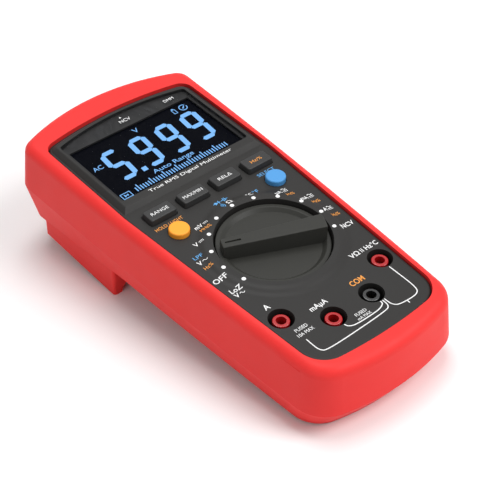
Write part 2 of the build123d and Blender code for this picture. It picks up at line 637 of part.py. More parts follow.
with BuildPart() as lcd_frame:
    with BuildSketch(Plane.XY.offset(BOARD_TOP_Z + SMALL)):
        with Locations((0, VIEW_MID_Y)):
            RectangleRounded(2 * (LCD_HALF_X + FRAME_WALL), LCD_HEIGHT + 2 * FRAME_WALL, FRAME_WALL)
            Rectangle(2 * (LCD_HALF_X + FRAME_SLACK), LCD_HEIGHT + 2 * FRAME_SLACK, mode=Mode.SUBTRACT)
    extrude(amount=-FACE_WALL - 0.1 - BOARD_TOP_Z - SMALL)
    with BuildSketch(Plane.XY.offset(BACKLIGHT_UNDER_Z - FRAME_LEDGE)):
        for side in (-1, 1):
            with Locations((side * (LCD_HALF_X - 1.0), VIEW_MID_Y)):
                Rectangle(2.4, LCD_HEIGHT - 2 * (STRIP_WIDTH + STRIP_GAP))
    extrude(amount=FRAME_LEDGE - SMALL)
keep(lcd_frame.part, "lcd_frame")

# ---- Main board and what stands on it -----------------------------------------------------------------
with BuildPart() as board:
    with BuildSketch(Plane.XY.offset(BOARD_UNDER_Z)):
        add(face_outline(BOARD_EDGE_GAP))
        with Locations(*mirrored([JACK_INNER, JACK_OUTER])):
            Circle(SOCKET_R + SLIP_GAP, mode=Mode.SUBTRACT)
        with Locations(*mirrored(CASE_SCREWS + BOARD_SCREWS)):
            Circle(SCREW_R + SCREW_PLAY, mode=Mode.SUBTRACT)
    extrude(amount=BOARD_THICK)
keep(board.part, "main_board")

with BuildPart() as chips:
    for x, y, length, width, height in CHIPS:
        with Locations((x, y, BOARD_TOP_Z + SMALL + height / 2)):
            Box(length, width, height)
keep(chips.part, "board_chips")

with BuildPart() as shield:
    with BuildSketch(Plane.XY.offset(BOARD_UNDER_Z - 5.0)):
        with Locations((0, 72)):
            RectangleRounded(52, 44, 2)
    extrude(amount=0.4)
    for x, y in ((-25.8, 58), (25.8, 58), (-25.8, 86), (25.8, 86)):
        with Locations((x, y, BOARD_UNDER_Z - 2.5 - SMALL)):
            Box(0.4, 5, 5.0)
keep(shield.part, "shield_plate")

with BuildPart() as antenna:
    with Locations((0, 99.6, BOARD_TOP_Z + SMALL + 3.0)):
        Box(36, 1.0, 6.0)
keep(antenna.part, "field_antenna")

with BuildPart() as buzzer:
    with BuildSketch(Plane.XY.offset(BOARD_UNDER_Z - SMALL)):
        with Locations((0, -29.0)):
            Circle(6.0)
            Circle(0.9, mode=Mode.SUBTRACT)
    extrude(amount=-5.0)
keep(buzzer.part, "buzzer")

with BuildPart() as shunt:
    with BuildLine(Plane.XZ.offset(53.0)) as loop:
        ThreePointArc((-5.5, BOARD_UNDER_Z), (0, BOARD_UNDER_Z - 5.5), (5.5, BOARD_UNDER_Z))
    with BuildSketch(Plane(origin=loop.edges()[0] @ 0, z_dir=loop.edges()[0] % 0)):
        Circle(0.8)
    sweep()
keep(shunt.part, "current_shunt")

for name, side in (("main_fuse", -1), ("milliamp_fuse", 1)):
    with BuildPart() as fuse:
        with BuildSketch(Plane.XZ.offset(-FUSE_MID_Y + FUSE_LENGTH / 2)):
            with Locations((side * FUSE_X, FUSE_Z)):
                Circle(FUSE_R)
        extrude(amount=-FUSE_LENGTH)
        fillet(fuse.edges().filter_by(GeomType.CIRCLE), 0.4)
    keep(fuse.part, name)

with BuildPart() as clips:
    for side in (-1, 1):
        for y in (FUSE_MID_Y - FUSE_LENGTH / 2 + 3.5, FUSE_MID_Y + FUSE_LENGTH / 2 - 3.5):
            with BuildSketch(Plane.XZ.offset(-y - 2.5)):
                with Locations((side * FUSE_X, FUSE_Z)):
                    Rectangle(2 * FUSE_R + 1.2, 2 * FUSE_R + 1.5)
                    Circle(FUSE_R + SLIP_GAP, mode=Mode.SUBTRACT)
                with Locations((side * FUSE_X, FUSE_Z - FUSE_R - 0.4)):
                    Rectangle(2 * FUSE_R + 2, FUSE_R + 1.6, mode=Mode.SUBTRACT)
            extrude(amount=5.0)
keep(clips.part, "fuse_clips")

# ---- Keys, buttons and the rubber sheet under them -----------------------------------------------------
with BuildPart() as membrane:
    with BuildSketch(Plane.XY.offset(BOARD_TOP_Z + SMALL)):
        with Locations((0, (KEY_Y + BUTTON_Y) / 2 - 1.2)):
            RectangleRounded(4 * KEY_PITCH - 2.0, 25.0, 2.0)
        Circle(WELL_R + WELL_FLOOR + 0.6, mode=Mode.SUBTRACT)
        with Locations(*mirrored(BOARD_SCREWS)):
            Circle(BOSS_R + 0.4, mode=Mode.SUBTRACT)
    extrude(amount=1.2)
    with BuildSketch(Plane.XY.offset(BOARD_TOP_Z + 1.0)):
        with Locations(*key_places(), *mirrored([(BUTTON_X, BUTTON_Y)])):
            Circle(KEY_STEM_R)
    extrude(amount=MEMBRANE_TOP_Z - BOARD_TOP_Z - 1.0)
keep(membrane.part, "key_membrane")


def rectangular_key(place):
    """A drafted key with a flange under the face and a stem down towards its rubber post."""
    with BuildPart() as key:
        with BuildSketch(Plane.XY.offset(KEY_FLANGE_Z - 0.1)):
            with Locations(place):
                RectangleRounded(KEY_LENGTH, KEY_WIDTH, KEY_CORNER)
        extrude(amount=0.1 - KEY_FLANGE_Z + KEY_PLINTH)
        with BuildSketch(Plane.XY.offset(KEY_PLINTH)):
            with Locations(place):
                RectangleRounded(KEY_LENGTH, KEY_WIDTH, KEY_CORNER)
        extrude(amount=KEY_RISE - KEY_PLINTH, taper=KEY_DRAFT)
        fillet(key.faces().sort_by(Axis.Z)[-1].edges(), KEY_EDGE_ROUND)
        with BuildSketch(Plane.XY.offset(KEY_FLANGE_Z - KEY_FLANGE_THICK)):
            with Locations(place):
                RectangleRounded(KEY_LENGTH + 2 * KEY_FLANGE, KEY_WIDTH + 2 * KEY_FLANGE, KEY_CORNER)
        extrude(amount=KEY_FLANGE_THICK)
        with BuildSketch(Plane.XY.offset(KEY_STEM_Z)):
            with Locations(place):
                Circle(KEY_STEM_R)
        extrude(amount=KEY_FLANGE_Z - KEY_STEM_Z - 0.2)
    return key.part


def round_button(place):
    """A domed round button with the same flange and stem."""
    with BuildPart() as button:
        with BuildSketch(Plane.XY.offset(KEY_FLANGE_Z - 0.1)):
            with Locations(place):
                Circle(BUTTON_R)
        extrude(amount=BUTTON_RISE - KEY_FLANGE_Z + 0.1)
        fillet(button.faces().sort_by(Axis.Z)[-1].edges(), BUTTON_EDGE_ROUND)
        with BuildSketch(Plane.XY.offset(KEY_FLANGE_Z - KEY_FLANGE_THICK)):
            with Locations(place):
                Circle(BUTTON_R + KEY_FLANGE)
        extrude(amount=KEY_FLANGE_THICK)
        with BuildSketch(Plane.XY.offset(KEY_STEM_Z)):
            with Locations(place):
                Circle(KEY_STEM_R)
        extrude(amount=KEY_FLANGE_Z - KEY_STEM_Z - 0.2)
    return button.part


for name, place in zip(("range_key", "peak_key", "relative_key", "frequency_key"), key_places()):
    keep(rectangular_key(place), name)
keep(round_button((-BUTTON_X, BUTTON_Y)), "hold_button")
keep(round_button((BUTTON_X, BUTTON_Y)), "select_button")

# ---- Function knob, made with its pointer along +X and then turned to the pointer's angle -------------
with BuildPart() as bar:
    with BuildSketch(Plane.XY.offset(KNOB_FLOOR_Z - 0.5)):
        with BuildLine():
            Polyline((KNOB_R, BAR_HALF_POINTER + BAR_DRAFT), (-KNOB_R, BAR_HALF_TAIL + BAR_DRAFT),
                     (-KNOB_R, -BAR_HALF_TAIL - BAR_DRAFT), (KNOB_R, -BAR_HALF_POINTER - BAR_DRAFT),
                     close=True)
        make_face()
    with BuildSketch(Plane.XY.offset(DIAL_Z + BAR_RISE_TAIL)):
        with BuildLine():
            Polyline((KNOB_R, BAR_HALF_POINTER), (-KNOB_R, BAR_HALF_TAIL), (-KNOB_R, -BAR_HALF_TAIL),
                     (KNOB_R, -BAR_HALF_POINTER), close=True)
        make_face()
    loft(ruled=True)
    # The crest slopes down to the pointer, and both ends follow the knob's round.
    with BuildSketch(Plane.XZ):
        with BuildLine():
            Polyline((BAR_R, DIAL_Z + BAR_RISE_POINTER), (-BAR_R, DIAL_Z + BAR_RISE_TAIL),
                     (-REACH, DIAL_Z + BAR_RISE_TAIL), (-REACH, REACH), (REACH, REACH),
                     (REACH, DIAL_Z + BAR_RISE_POINTER), close=True)
        make_face()
    extrude(amount=REACH, both=True, mode=Mode.SUBTRACT)
    with BuildSketch(Plane.XY.offset(-REACH / 2)):
        Circle(BAR_R)
    extrude(amount=REACH, mode=Mode.INTERSECT)
    crest_edges = bar.faces().group_by(Axis.Z)[-1].edges()
    fillet(crest_edges, BAR_EDGE_ROUND)

with BuildPart() as knob:
    with BuildSketch(Plane.XZ):
        with BuildLine():
            Polyline((0, KNOB_BOTTOM_Z), (KNOB_R, KNOB_BOTTOM_Z), (KNOB_R, KNOB_RING_Z),
                     (KNOB_R - KNOB_RING, KNOB_RING_Z), (KNOB_R - KNOB_RING - KNOB_DISH_SLOPE, KNOB_FLOOR_Z),
                     (0, KNOB_FLOOR_Z), close=True)
        make_face()
    revolve(axis=Axis.Z)
    circles = knob.edges().filter_by(GeomType.CIRCLE)
    ring_edges = circles.filter_by(lambda edge: abs(edge.center().Z - KNOB_RING_Z) < SMALL)
    fillet(ring_edges, KNOB_EDGE_ROUND)
    add(bar.part)
    # Pointer line cut into the crest.
    with BuildSketch(Plane.XY.offset(DIAL_Z + BAR_RISE_POINTER - POINTER_LINE_DEPTH)):
        with Locations((BAR_R - POINTER_LINE[0] / 2 - 1.4, 0)):
            RectangleRounded(*POINTER_LINE, 0.4)
    extrude(amount=REACH, mode=Mode.SUBTRACT)
    with BuildSketch(Plane.XY.offset(WELL_UNDER_Z - 0.5)):
        Circle(HUB_R)
    extrude(amount=KNOB_BOTTOM_Z - WELL_UNDER_Z + 0.5)
    with BuildSketch(Plane.XY.offset(BOARD_TOP_Z + 0.6)):
        Circle(SHAFT_R)
    extrude(amount=WELL_UNDER_Z - BOARD_TOP_Z - 1.1)
    with BuildSketch(Plane.XY.offset(KNOB_BOTTOM_Z)):
        Circle(HUB_R + SEAL_RING_R + SEAL_GROOVE)
        Circle(HUB_R + SEAL_RING_R - SEAL_GROOVE, mode=Mode.SUBTRACT)
    extrude(amount=SEAL_GROOVE_DEPTH, mode=Mode.SUBTRACT)
TURN = Rotation(0, 0, POINTER_ANGLE)
keep(TURN * knob.part, "function_knob")

with BuildPart() as seal_ring:
    with BuildSketch(Plane.XZ):
        with Locations((HUB_R + SEAL_RING_R, WELL_FLOOR_Z + SEAL_RING_WIRE_R + SMALL)):
            Circle(SEAL_RING_WIRE_R)
    revolve(axis=Axis.Z)
keep(seal_ring.part, "knob_seal_ring")

with BuildPart() as rotor:
    with BuildSketch(Plane.XY.offset(BOARD_TOP_Z + ROTOR_FLOAT)):
        Circle(ROTOR_R - 0.8)
        Circle(SHAFT_R + SMALL, mode=Mode.SUBTRACT)
    extrude(amount=WELL_UNDER_Z - BOARD_TOP_Z - ROTOR_FLOAT - 0.7)
    for side in (-1, 1):
        with BuildSketch(Plane.YZ.offset(side * (ROTOR_R - BORE_DEPTH))):
            with Locations((0, BORE_Z)):
                Circle(BALL_BORE_R)
        extrude(amount=side * 2 * BORE_DEPTH, mode=Mode.SUBTRACT)
keep(TURN * rotor.part, "switch_rotor")

# Coil springs in the rotor's two radial bores push a ball each into the scalloped wall.
with BuildPart() as springs:
    for side in (-1, 1):
        start = ROTOR_R - BORE_DEPTH + 0.25
        height = BALL_X - BALL_R - start - SPRING_WIRE_R
        coil = Helix(pitch=height / SPRING_TURNS, height=height, radius=SPRING_R,
                     center=(side * start, 0, BORE_Z), direction=(side, 0, 0))
        with BuildSketch(Plane(origin=coil @ 0, z_dir=coil % 0)):
            Circle(SPRING_WIRE_R)
        sweep(path=coil)
keep(TURN * springs.part, "detent_springs")

with BuildPart() as balls:
    with Locations((-BALL_X, 0, BORE_Z), (BALL_X, 0, BORE_Z)):
        Sphere(BALL_R)
keep(TURN * balls.part, "detent_balls")

with BuildPart() as wipers:
    with BuildSketch(Plane.XY.offset(BOARD_TOP_Z + SMALL)):
        for radius in (7.0, 10.5, 14.0):
            with PolarLocations(radius, 3, radius * 10):
                Rectangle(1.2, 3.6)
    extrude(amount=0.8 - 2 * SMALL)
keep(TURN * wipers.part, "wiper_contacts")

# ---- Input jacks: a coloured shroud around each metal socket -------------------------------------------
def shroud(place):
    """Insulating tube with a raised mouth; the socket sits in its wider lower bore."""
    with BuildPart() as sleeve:
        with BuildSketch(Plane.XY.offset(BOARD_TOP_Z + SMALL)):
            with Locations(place):
                Circle(SHROUD_R)
        extrude(amount=SHROUD_TOP_Z - BOARD_TOP_Z - SMALL)
        fillet(sleeve.faces().sort_by(Axis.Z)[-1].edges(), 0.4)
        with BuildSketch(Plane.XY.offset(SOCKET_TOP_Z)):
            with Locations(place):
                Circle(SOCKET_BORE_R)
        extrude(amount=SHROUD_MOUTH_DEPTH + 1, mode=Mode.SUBTRACT)
        with BuildSketch(Plane.XY.offset(BOARD_TOP_Z - 1)):
            with Locations(place):
                Circle(SOCKET_R + SMALL)
        extrude(amount=SOCKET_TOP_Z + SMALL - BOARD_TOP_Z + 1, mode=Mode.SUBTRACT)
    return sleeve.part


def socket(place):
    """Turned metal socket, blind at its lower end, with a collar soldered under the board."""
    with BuildPart() as barrel:
        with BuildSketch(Plane.XY.offset(SOCKET_BOTTOM_Z)):
            with Locations(place):
                Circle(SOCKET_R)
        extrude(amount=SOCKET_TOP_Z - SOCKET_BOTTOM_Z)
        with BuildSketch(Plane.XY.offset(BOARD_UNDER_Z - SMALL)):
            with Locations(place):
                Circle(SOCKET_R + 1.2)
        extrude(amount=-1.4)
        with BuildSketch(Plane.XY.offset(SOCKET_BOTTOM_Z + SOCKET_END)):
            with Locations(place):
                Circle(SOCKET_BORE_R)
        extrude(amount=SOCKET_DEPTH + 1, mode=Mode.SUBTRACT)
    return barrel.part


JACKS = {
    "ampere": (-JACK_OUTER[0], JACK_OUTER[1]),
    "milliampere": (-JACK_INNER[0], JACK_INNER[1]),
    "common": (JACK_INNER[0], JACK_INNER[1]),
    "volt": (JACK_OUTER[0], JACK_OUTER[1]),
}
for name, place in JACKS.items():
    keep(shroud(place), f"{name}_shroud")
    keep(socket(place), f"{name}_socket")

# ---- Tilt stand, folded between the probe holders -------------------------------------------------------
with BuildPart() as tilt_stand:
    with BuildSketch(Plane.YZ.offset(-STAND_HALF_X)):
        with Locations((STAND_PIVOT_Y, STAND_PIVOT_Z)):
            Circle(STAND_BARREL_R)
        with Locations((STAND_MID_Y, STAND_PIVOT_Z)):
            Rectangle(STAND_LENGTH, 2 * STAND_BARREL_R)
    extrude(amount=2 * STAND_HALF_X)
    # The skin is on the outer side; the inner side is hollow between two rails and a foot bar.
    with BuildSketch(Plane.XY.offset(STAND_PIVOT_Z - STAND_BARREL_R + STAND_SKIN)):
        with Locations((0, STAND_MID_Y)):
            RectangleRounded(2 * (STAND_HALF_X - STAND_RAIL), STAND_LENGTH - 4 * STAND_RAIL, 2.0)
    extrude(amount=2 * STAND_BARREL_R, mode=Mode.SUBTRACT)
    fillet(tilt_stand.edges().filter_by(Axis.Z).group_by(Axis.Y)[-1], STAND_CORNER)
    # Finger notch in the foot.
    with BuildSketch(Plane.XY.offset(STAND_PIVOT_Z - REACH / 2)):
        with Locations((0, STAND_PIVOT_Y + STAND_LENGTH + FINGER_R - FINGER_DEPTH)):
            Circle(FINGER_R)
    extrude(amount=REACH, mode=Mode.SUBTRACT)
    with BuildSketch(Plane.YZ.offset(-STAND_HALF_X - 1)):
        with Locations((STAND_PIVOT_Y, STAND_PIVOT_Z)):
            Circle(PIN_R + RUNNING_GAP)
    extrude(amount=2 * STAND_HALF_X + 2, mode=Mode.SUBTRACT)
keep(tilt_stand.part, "tilt_stand")

with BuildPart() as stand_pin:
    with BuildSketch(Plane.YZ.offset(-HOLDER_INNER_X - PIN_BITE)):
        with Locations((STAND_PIVOT_Y, STAND_PIVOT_Z)):
            Circle(PIN_R)
    extrude(amount=2 * (HOLDER_INNER_X + PIN_BITE))
keep(stand_pin.part, "stand_hinge_pin")

# ---- Lay the meter on its back ------------------------------------------------------------------------------
# It rests on the near ends of the probe holders and on the heel of the jack end.
heel = case_outline([low + (wide - low) * (HEEL_Z - LOW_Z) / (WIDE_Z - LOW_Z)
                     for low, wide in zip(LOW_OUTLINE, WIDE_OUTLINE)], 0)
HEEL_Y = heel.bounding_box().min.Y
REST_TILT = degrees(atan2(HEEL_Z - FOOT_Z, HOLDER_NEAR_Y - HEEL_Y))
tipped = [Rotation(REST_TILT, 0, 0) * piece for piece in pieces]
box = Compound(children=[copy.copy(piece) for piece in tipped]).bounding_box()
LAID = Location((-(box.min.X + box.max.X) / 2, -(box.min.Y + box.max.Y) / 2, -box.min.Z))
print(f"rest tilt {REST_TILT:.4f}, shift {LAID.position}, size {box.size}")

os.makedirs("parts", exist_ok=True)
for piece, flat in zip(pieces, tipped):
    placed = LAID * flat
    placed.label = piece.label
    export_step(placed, f"parts/{placed.label}.step")
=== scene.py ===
import json
import logging
from dataclasses import dataclass, field
from enum import Enum
from typing import Any, Callable, Sequence

import bmesh
import bpy
import numpy as np
from mathutils import Matrix


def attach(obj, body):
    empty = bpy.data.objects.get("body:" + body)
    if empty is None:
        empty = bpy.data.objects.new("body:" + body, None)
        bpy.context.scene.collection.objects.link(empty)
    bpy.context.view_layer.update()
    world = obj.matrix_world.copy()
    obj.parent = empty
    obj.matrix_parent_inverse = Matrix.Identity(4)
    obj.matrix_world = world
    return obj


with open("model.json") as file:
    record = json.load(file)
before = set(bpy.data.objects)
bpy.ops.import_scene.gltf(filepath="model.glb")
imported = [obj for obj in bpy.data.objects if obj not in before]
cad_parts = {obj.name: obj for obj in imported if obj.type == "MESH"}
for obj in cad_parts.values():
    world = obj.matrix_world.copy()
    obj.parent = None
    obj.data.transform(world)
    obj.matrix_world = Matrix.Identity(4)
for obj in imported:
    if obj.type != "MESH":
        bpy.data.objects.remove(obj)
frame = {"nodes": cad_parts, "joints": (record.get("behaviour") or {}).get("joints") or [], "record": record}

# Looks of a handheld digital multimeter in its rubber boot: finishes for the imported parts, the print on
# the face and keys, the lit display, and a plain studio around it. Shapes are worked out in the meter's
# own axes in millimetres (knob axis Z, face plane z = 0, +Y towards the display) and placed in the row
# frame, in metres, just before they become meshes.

log = logging.getLogger("meter")

Colour = tuple[float, float, float]
Height = Callable[[np.ndarray, np.ndarray], np.ndarray]

MM = 0.001
KNOB_PIVOT_DEPTH = 3.0


def srgb(red: int, green: int, blue: int) -> Colour:
    """Linear colour of a screen colour: ((c + 0.055) / 1.055) to the power 2.4, or c / 12.92 near black."""
    share = np.array([red, green, blue]) / 255
    linear = np.where(share <= 0.04045, share / 12.92, ((share + 0.055) / 1.055) ** 2.4)
    return tuple(float(value) for value in linear)


# ---- Shader maths ----------------------------------------------------------------------------------


@dataclass(frozen=True)
class Shade:
    """One output socket of a node tree; arithmetic on it adds Math nodes to that tree."""

    tree: "Tree"
    socket: bpy.types.NodeSocket

    def _maths(self, operation: str, *values: Any) -> "Shade":
        """One Math node.

        Args:
            operation: Blender's name of the operation.
            values: numbers or Shades, in the node's order.

        Returns:
            The node's result.
        """
        return self.tree.node("ShaderNodeMath", {"operation": operation}, dict(enumerate(values)))

    def __add__(self, other: Any) -> "Shade":
        """Sum."""
        return self._maths("ADD", self, other)

    __radd__ = __add__

    def __sub__(self, other: Any) -> "Shade":
        """Difference."""
        return self._maths("SUBTRACT", self, other)

    def __rsub__(self, other: Any) -> "Shade":
        """Difference with the number first."""
        return self._maths("SUBTRACT", other, self)

    def __mul__(self, other: Any) -> "Shade":
        """Product."""
        return self._maths("MULTIPLY", self, other)

    __rmul__ = __mul__

    def over(self, edge: float, soft: float) -> "Shade":
        """Smooth step from 0 to 1 around an edge: the value less the edge, over the softness, clamped.

        Args:
            edge: value at which the result is one half.
            soft: width of the change.

        Returns:
            The mask.
        """
        return self.tree.node("ShaderNodeMapRange", {"interpolation_type": "SMOOTHSTEP"},
                              {"Value": self, "From Min": edge - soft / 2, "From Max": edge + soft / 2})


class Tree:
    """The node tree of one material, and the only place that adds nodes to it."""

    def __init__(self, name: str) -> None:
        """Start an empty material of that name."""
        self.material = bpy.data.materials.new(name)
        self.material.use_nodes = True
        self.nodes = self.material.node_tree.nodes
        self.links = self.material.node_tree.links
        self.nodes.clear()

    def node(self, kind: str, settings: dict[str, Any] | None = None, inputs: dict[Any, Any] | None = None,
             out: Any = 0) -> Shade:
        """Add one node.

        Args:
            kind: the node's type name.
            settings: attributes of the node, set before its sockets.
            inputs: socket name or number to a number, a colour or a Shade.
            out: name or number of the output socket that is returned.

        Returns:
            The chosen output.
        """
        made = self.nodes.new(kind)
        for key, value in (settings or {}).items():
            setattr(made, key, value)
        for key, value in (inputs or {}).items():
            socket = made.inputs[key]
            if isinstance(value, Shade):
                self.links.new(value.socket, socket)
            elif isinstance(value, tuple) and len(value) == 3 and socket.type == "RGBA":
                socket.default_value = (*value, 1.0)
            else:
                socket.default_value = value
        return Shade(self, made.outputs[out] if made.outputs else None)

    def place(self) -> Shade:
        """The piece's own coordinates, in metres."""
        return self.node("ShaderNodeTexCoord", out="Object")

    def noise(self, size_mm: float, detail: float = 3.0, stretch: Colour = (1.0, 1.0, 1.0)) -> Shade:
        """Noise from 0 to 1 whose blotches are about size_mm across.

        Args:
            size_mm: width of a blotch.
            detail: number of finer layers.
            stretch: how much longer a blotch is along each axis.

        Returns:
            The noise.
        """
        scale = tuple(1.0 / value for value in stretch)
        spot = self.node("ShaderNodeMapping", None, {"Vector": self.place(), "Scale": scale})
        return self.node("ShaderNodeTexNoise", None,
                         {"Vector": spot, "Scale": 1000.0 / size_mm, "Detail": detail, "Roughness": 0.55})

    def blend(self, share: Shade, first: Any, second: Any) -> Shade:
        """Mix of two colours: first where share is 0, second where it is 1."""
        return self.node("ShaderNodeMix", {"data_type": "RGBA"}, {0: share, 6: first, 7: second}, out=2)

    def bump(self, height: Shade, depth_mm: float, under: Shade | None = None) -> Shade:
        """Normal of a surface raised by height times depth_mm."""
        inputs: dict[Any, Any] = {"Height": height, "Distance": depth_mm * MM, "Strength": 1.0}
        if under is not None:
            inputs["Normal"] = under
        return self.node("ShaderNodeBump", None, inputs)

    def surface(self, shader: Shade) -> bpy.types.Material:
        """Join a shader to the output and return the finished material."""
        self.node("ShaderNodeOutputMaterial", None, {"Surface": shader})
        return self.material


# ---- Finishes --------------------------------------------------------------------------------------


class Grain(Enum):
    """How a mould's wall was finished, as size and depth of its texture in millimetres."""

    POLISHED = (3.0, 0.003)
    SATIN = (0.35, 0.006)
    SPARK = (0.28, 0.020)
    RUBBER = (0.22, 0.012)
    COARSE = (0.55, 0.035)


@dataclass(frozen=True)
class Moulded:
    """Moulded plastic or rubber: wandering colour, a mould grain and an uneven gloss."""

    name: str
    colour: Colour
    roughness: float
    grain: Grain
    wander: float = 0.10
    gloss_wander: float = 0.12
    specular: float = 0.5
    coat: float = 0.0
    waves_mm: float = 0.02

    def material(self) -> bpy.types.Material:
        """Colour is a mix of a lighter and a darker shade by wide noise; height is grain plus a slow wave."""
        tree = Tree(self.name)
        cloud = tree.noise(26.0, 3.0)
        speck = tree.noise(self.grain.value[0] * 1.7, 2.0)
        dark = tuple(value * (1.0 - self.wander) for value in self.colour)
        light = tuple(min(value * (1.0 + self.wander) + 0.002, 1.0) for value in self.colour)
        colour = tree.blend(cloud * 0.7 + speck * 0.3, dark, light)
        grain = tree.noise(self.grain.value[0], 4.0)
        slow = tree.bump(tree.noise(14.0, 2.0), self.waves_mm)
        relief = tree.bump(grain, self.grain.value[1], slow)
        gloss = self.roughness + (tree.noise(9.0, 4.0) - 0.5) * self.gloss_wander
        return tree.surface(tree.node("ShaderNodeBsdfPrincipled", None, {
            "Base Color": colour, "Roughness": gloss, "Specular IOR Level": self.specular,
            "Coat Weight": self.coat, "Coat Roughness": 0.25, "Normal": relief}))


@dataclass(frozen=True)
class Metal:
    """Plated or drawn metal: fine lines along one axis, tarnish in patches."""

    name: str
    colour: Colour
    roughness: float = 0.28
    lines: Colour = (1.0, 1.0, 12.0)
    tarnish: float = 0.22

    def material(self) -> bpy.types.Material:
        """Roughness is a base value plus drawn-out noise; colour darkens in soft patches of wide noise."""
        tree = Tree(self.name)
        drawn = tree.noise(0.12, 3.0, self.lines)
        patch = tree.noise(2.4, 4.0).over(0.56, 0.25)
        dull = tuple(value * (1.0 - self.tarnish) for value in self.colour)
        return tree.surface(tree.node("ShaderNodeBsdfPrincipled", None, {
            "Base Color": tree.blend(patch, self.colour, dull), "Metallic": 1.0,
            "Roughness": self.roughness + drawn * 0.16 + patch * 0.10,
            "Normal": tree.bump(drawn, 0.004)}))


@dataclass(frozen=True)
class Ink:
    """Screen-printed ink: a little uneven in cover, with a dry, slightly rough film."""

    name: str
    colour: Colour
    roughness: float = 0.55

    def material(self) -> bpy.types.Material:
        """Colour thins slightly where fine noise is high; the film has the grain of the plastic under it."""
        tree = Tree(self.name)
        thin = tree.noise(0.35, 3.0).over(0.68, 0.2)
        worn = tuple(value * 0.82 for value in self.colour)
        return tree.surface(tree.node("ShaderNodeBsdfPrincipled", None, {
            "Base Color": tree.blend(thin, self.colour, worn), "Roughness": self.roughness,
            "Normal": tree.bump(tree.noise(0.3, 3.0), 0.006)}))


@dataclass(frozen=True)
class Lit:
    """A lit display segment: even glow with the faint mottling of the light guide behind it."""

    name: str
    colour: Colour
    strength: float = 1.0

    def material(self) -> bpy.types.Material:
        """Glow colour wanders by a few hundredths with wide noise."""
        tree = Tree(self.name)
        dim = tuple(value * 0.90 for value in self.colour)
        glow = tree.blend(tree.noise(11.0, 2.0), self.colour, dim)
        return tree.surface(tree.node("ShaderNodeBsdfPrincipled", None, {
            "Base Color": (0.01, 0.02, 0.03), "Roughness": 0.5, "Emission Color": glow,
            "Emission Strength": self.strength}))


@dataclass(frozen=True)
class Pane:
    """Clear window with a coating against glare: light passes, and a little is mirrored at low angles."""

    name: str
    mirror: float = 0.012
    tint: Colour = (0.97, 0.98, 1.0)

    def material(self) -> bpy.types.Material:
        """Share of mirror is Fresnel's value times a constant, on the outer face only, more where smeared."""
        tree = Tree(self.name)
        smear = tree.noise(18.0, 4.0)
        outer = 1.0 - tree.node("ShaderNodeNewGeometry", None, {}, "Backfacing")
        fresnel = tree.node("ShaderNodeFresnel", None, {"IOR": 1.45})
        clear = tree.node("ShaderNodeBsdfTransparent", None, {"Color": self.tint})
        gloss = tree.node("ShaderNodeBsdfPrincipled", None, {
            "Base Color": (0.02, 0.02, 0.025), "Roughness": 0.04 + smear * 0.05, "Specular IOR Level": 0.9})
        return tree.surface(tree.node("ShaderNodeMixShader", None, {
            0: fresnel * outer * self.mirror * (0.8 + smear * 0.4), 1: clear, 2: gloss}))


@dataclass(frozen=True)
class Laminate:
    """Circuit board: green solder mask over copper tracks, with tinned pads on a grid."""

    name: str
    mask: Colour
    copper: Colour
    tin: Colour = (0.62, 0.62, 0.60)

    def material(self) -> bpy.types.Material:
        """Tracks are bands of a stretched wave; pads are the centres of cells of a Voronoi pattern."""
        tree = Tree(self.name)
        wave = tree.node("ShaderNodeTexWave", {"bands_direction": "X"},
                         {"Vector": tree.place(), "Scale": 260.0, "Distortion": 1.6, "Detail": 1.0})
        tracks = wave.over(0.62, 0.1)
        cells = tree.node("ShaderNodeTexVoronoi", None,
                          {"Vector": tree.place(), "Scale": 260.0, "Randomness": 0.25})
        pads = 1.0 - cells.over(0.24, 0.03)
        colour = tree.blend(pads, tree.blend(tracks, self.mask, self.copper), self.tin)
        return tree.surface(tree.node("ShaderNodeBsdfPrincipled", None, {
            "Base Color": colour, "Metallic": pads * 0.9, "Roughness": 0.28 + tree.noise(4.0) * 0.15,
            "Normal": tree.bump(tracks + pads, 0.03)}))


@dataclass(frozen=True)
class Banded:
    """Striped part, such as a battery's sleeve, a fuse's body with caps or a striped contact strip."""

    name: str
    first: Colour
    second: Colour
    bands_direction: str
    size_mm: float
    edge: float
    roughness: float = 0.3
    metal: float = 0.0

    def material(self) -> bpy.types.Material:
        """The second colour shows where a sine wave along one axis is over the edge value."""
        tree = Tree(self.name)
        wave = tree.node("ShaderNodeTexWave", {"bands_direction": self.bands_direction},
                         {"Vector": tree.place(), "Scale": 314.16 / self.size_mm, "Distortion": 0.0})
        band = wave.over(self.edge, 0.04)
        mottle = tree.noise(3.0, 3.0)
        return tree.surface(tree.node("ShaderNodeBsdfPrincipled", None, {
            "Base Color": tree.blend(band, self.first, self.second), "Metallic": band * self.metal,
            "Roughness": self.roughness + mottle * 0.12, "Normal": tree.bump(mottle, 0.02)}))


WHITE_INK = Ink("white_ink", srgb(232, 232, 232))
ORANGE_INK = Ink("orange_ink", srgb(232, 152, 62))
BLUE_INK = Ink("blue_ink", srgb(86, 158, 214))
SEGMENT_LIGHT = Lit("segment_light", srgb(116, 182, 244), 1.05)

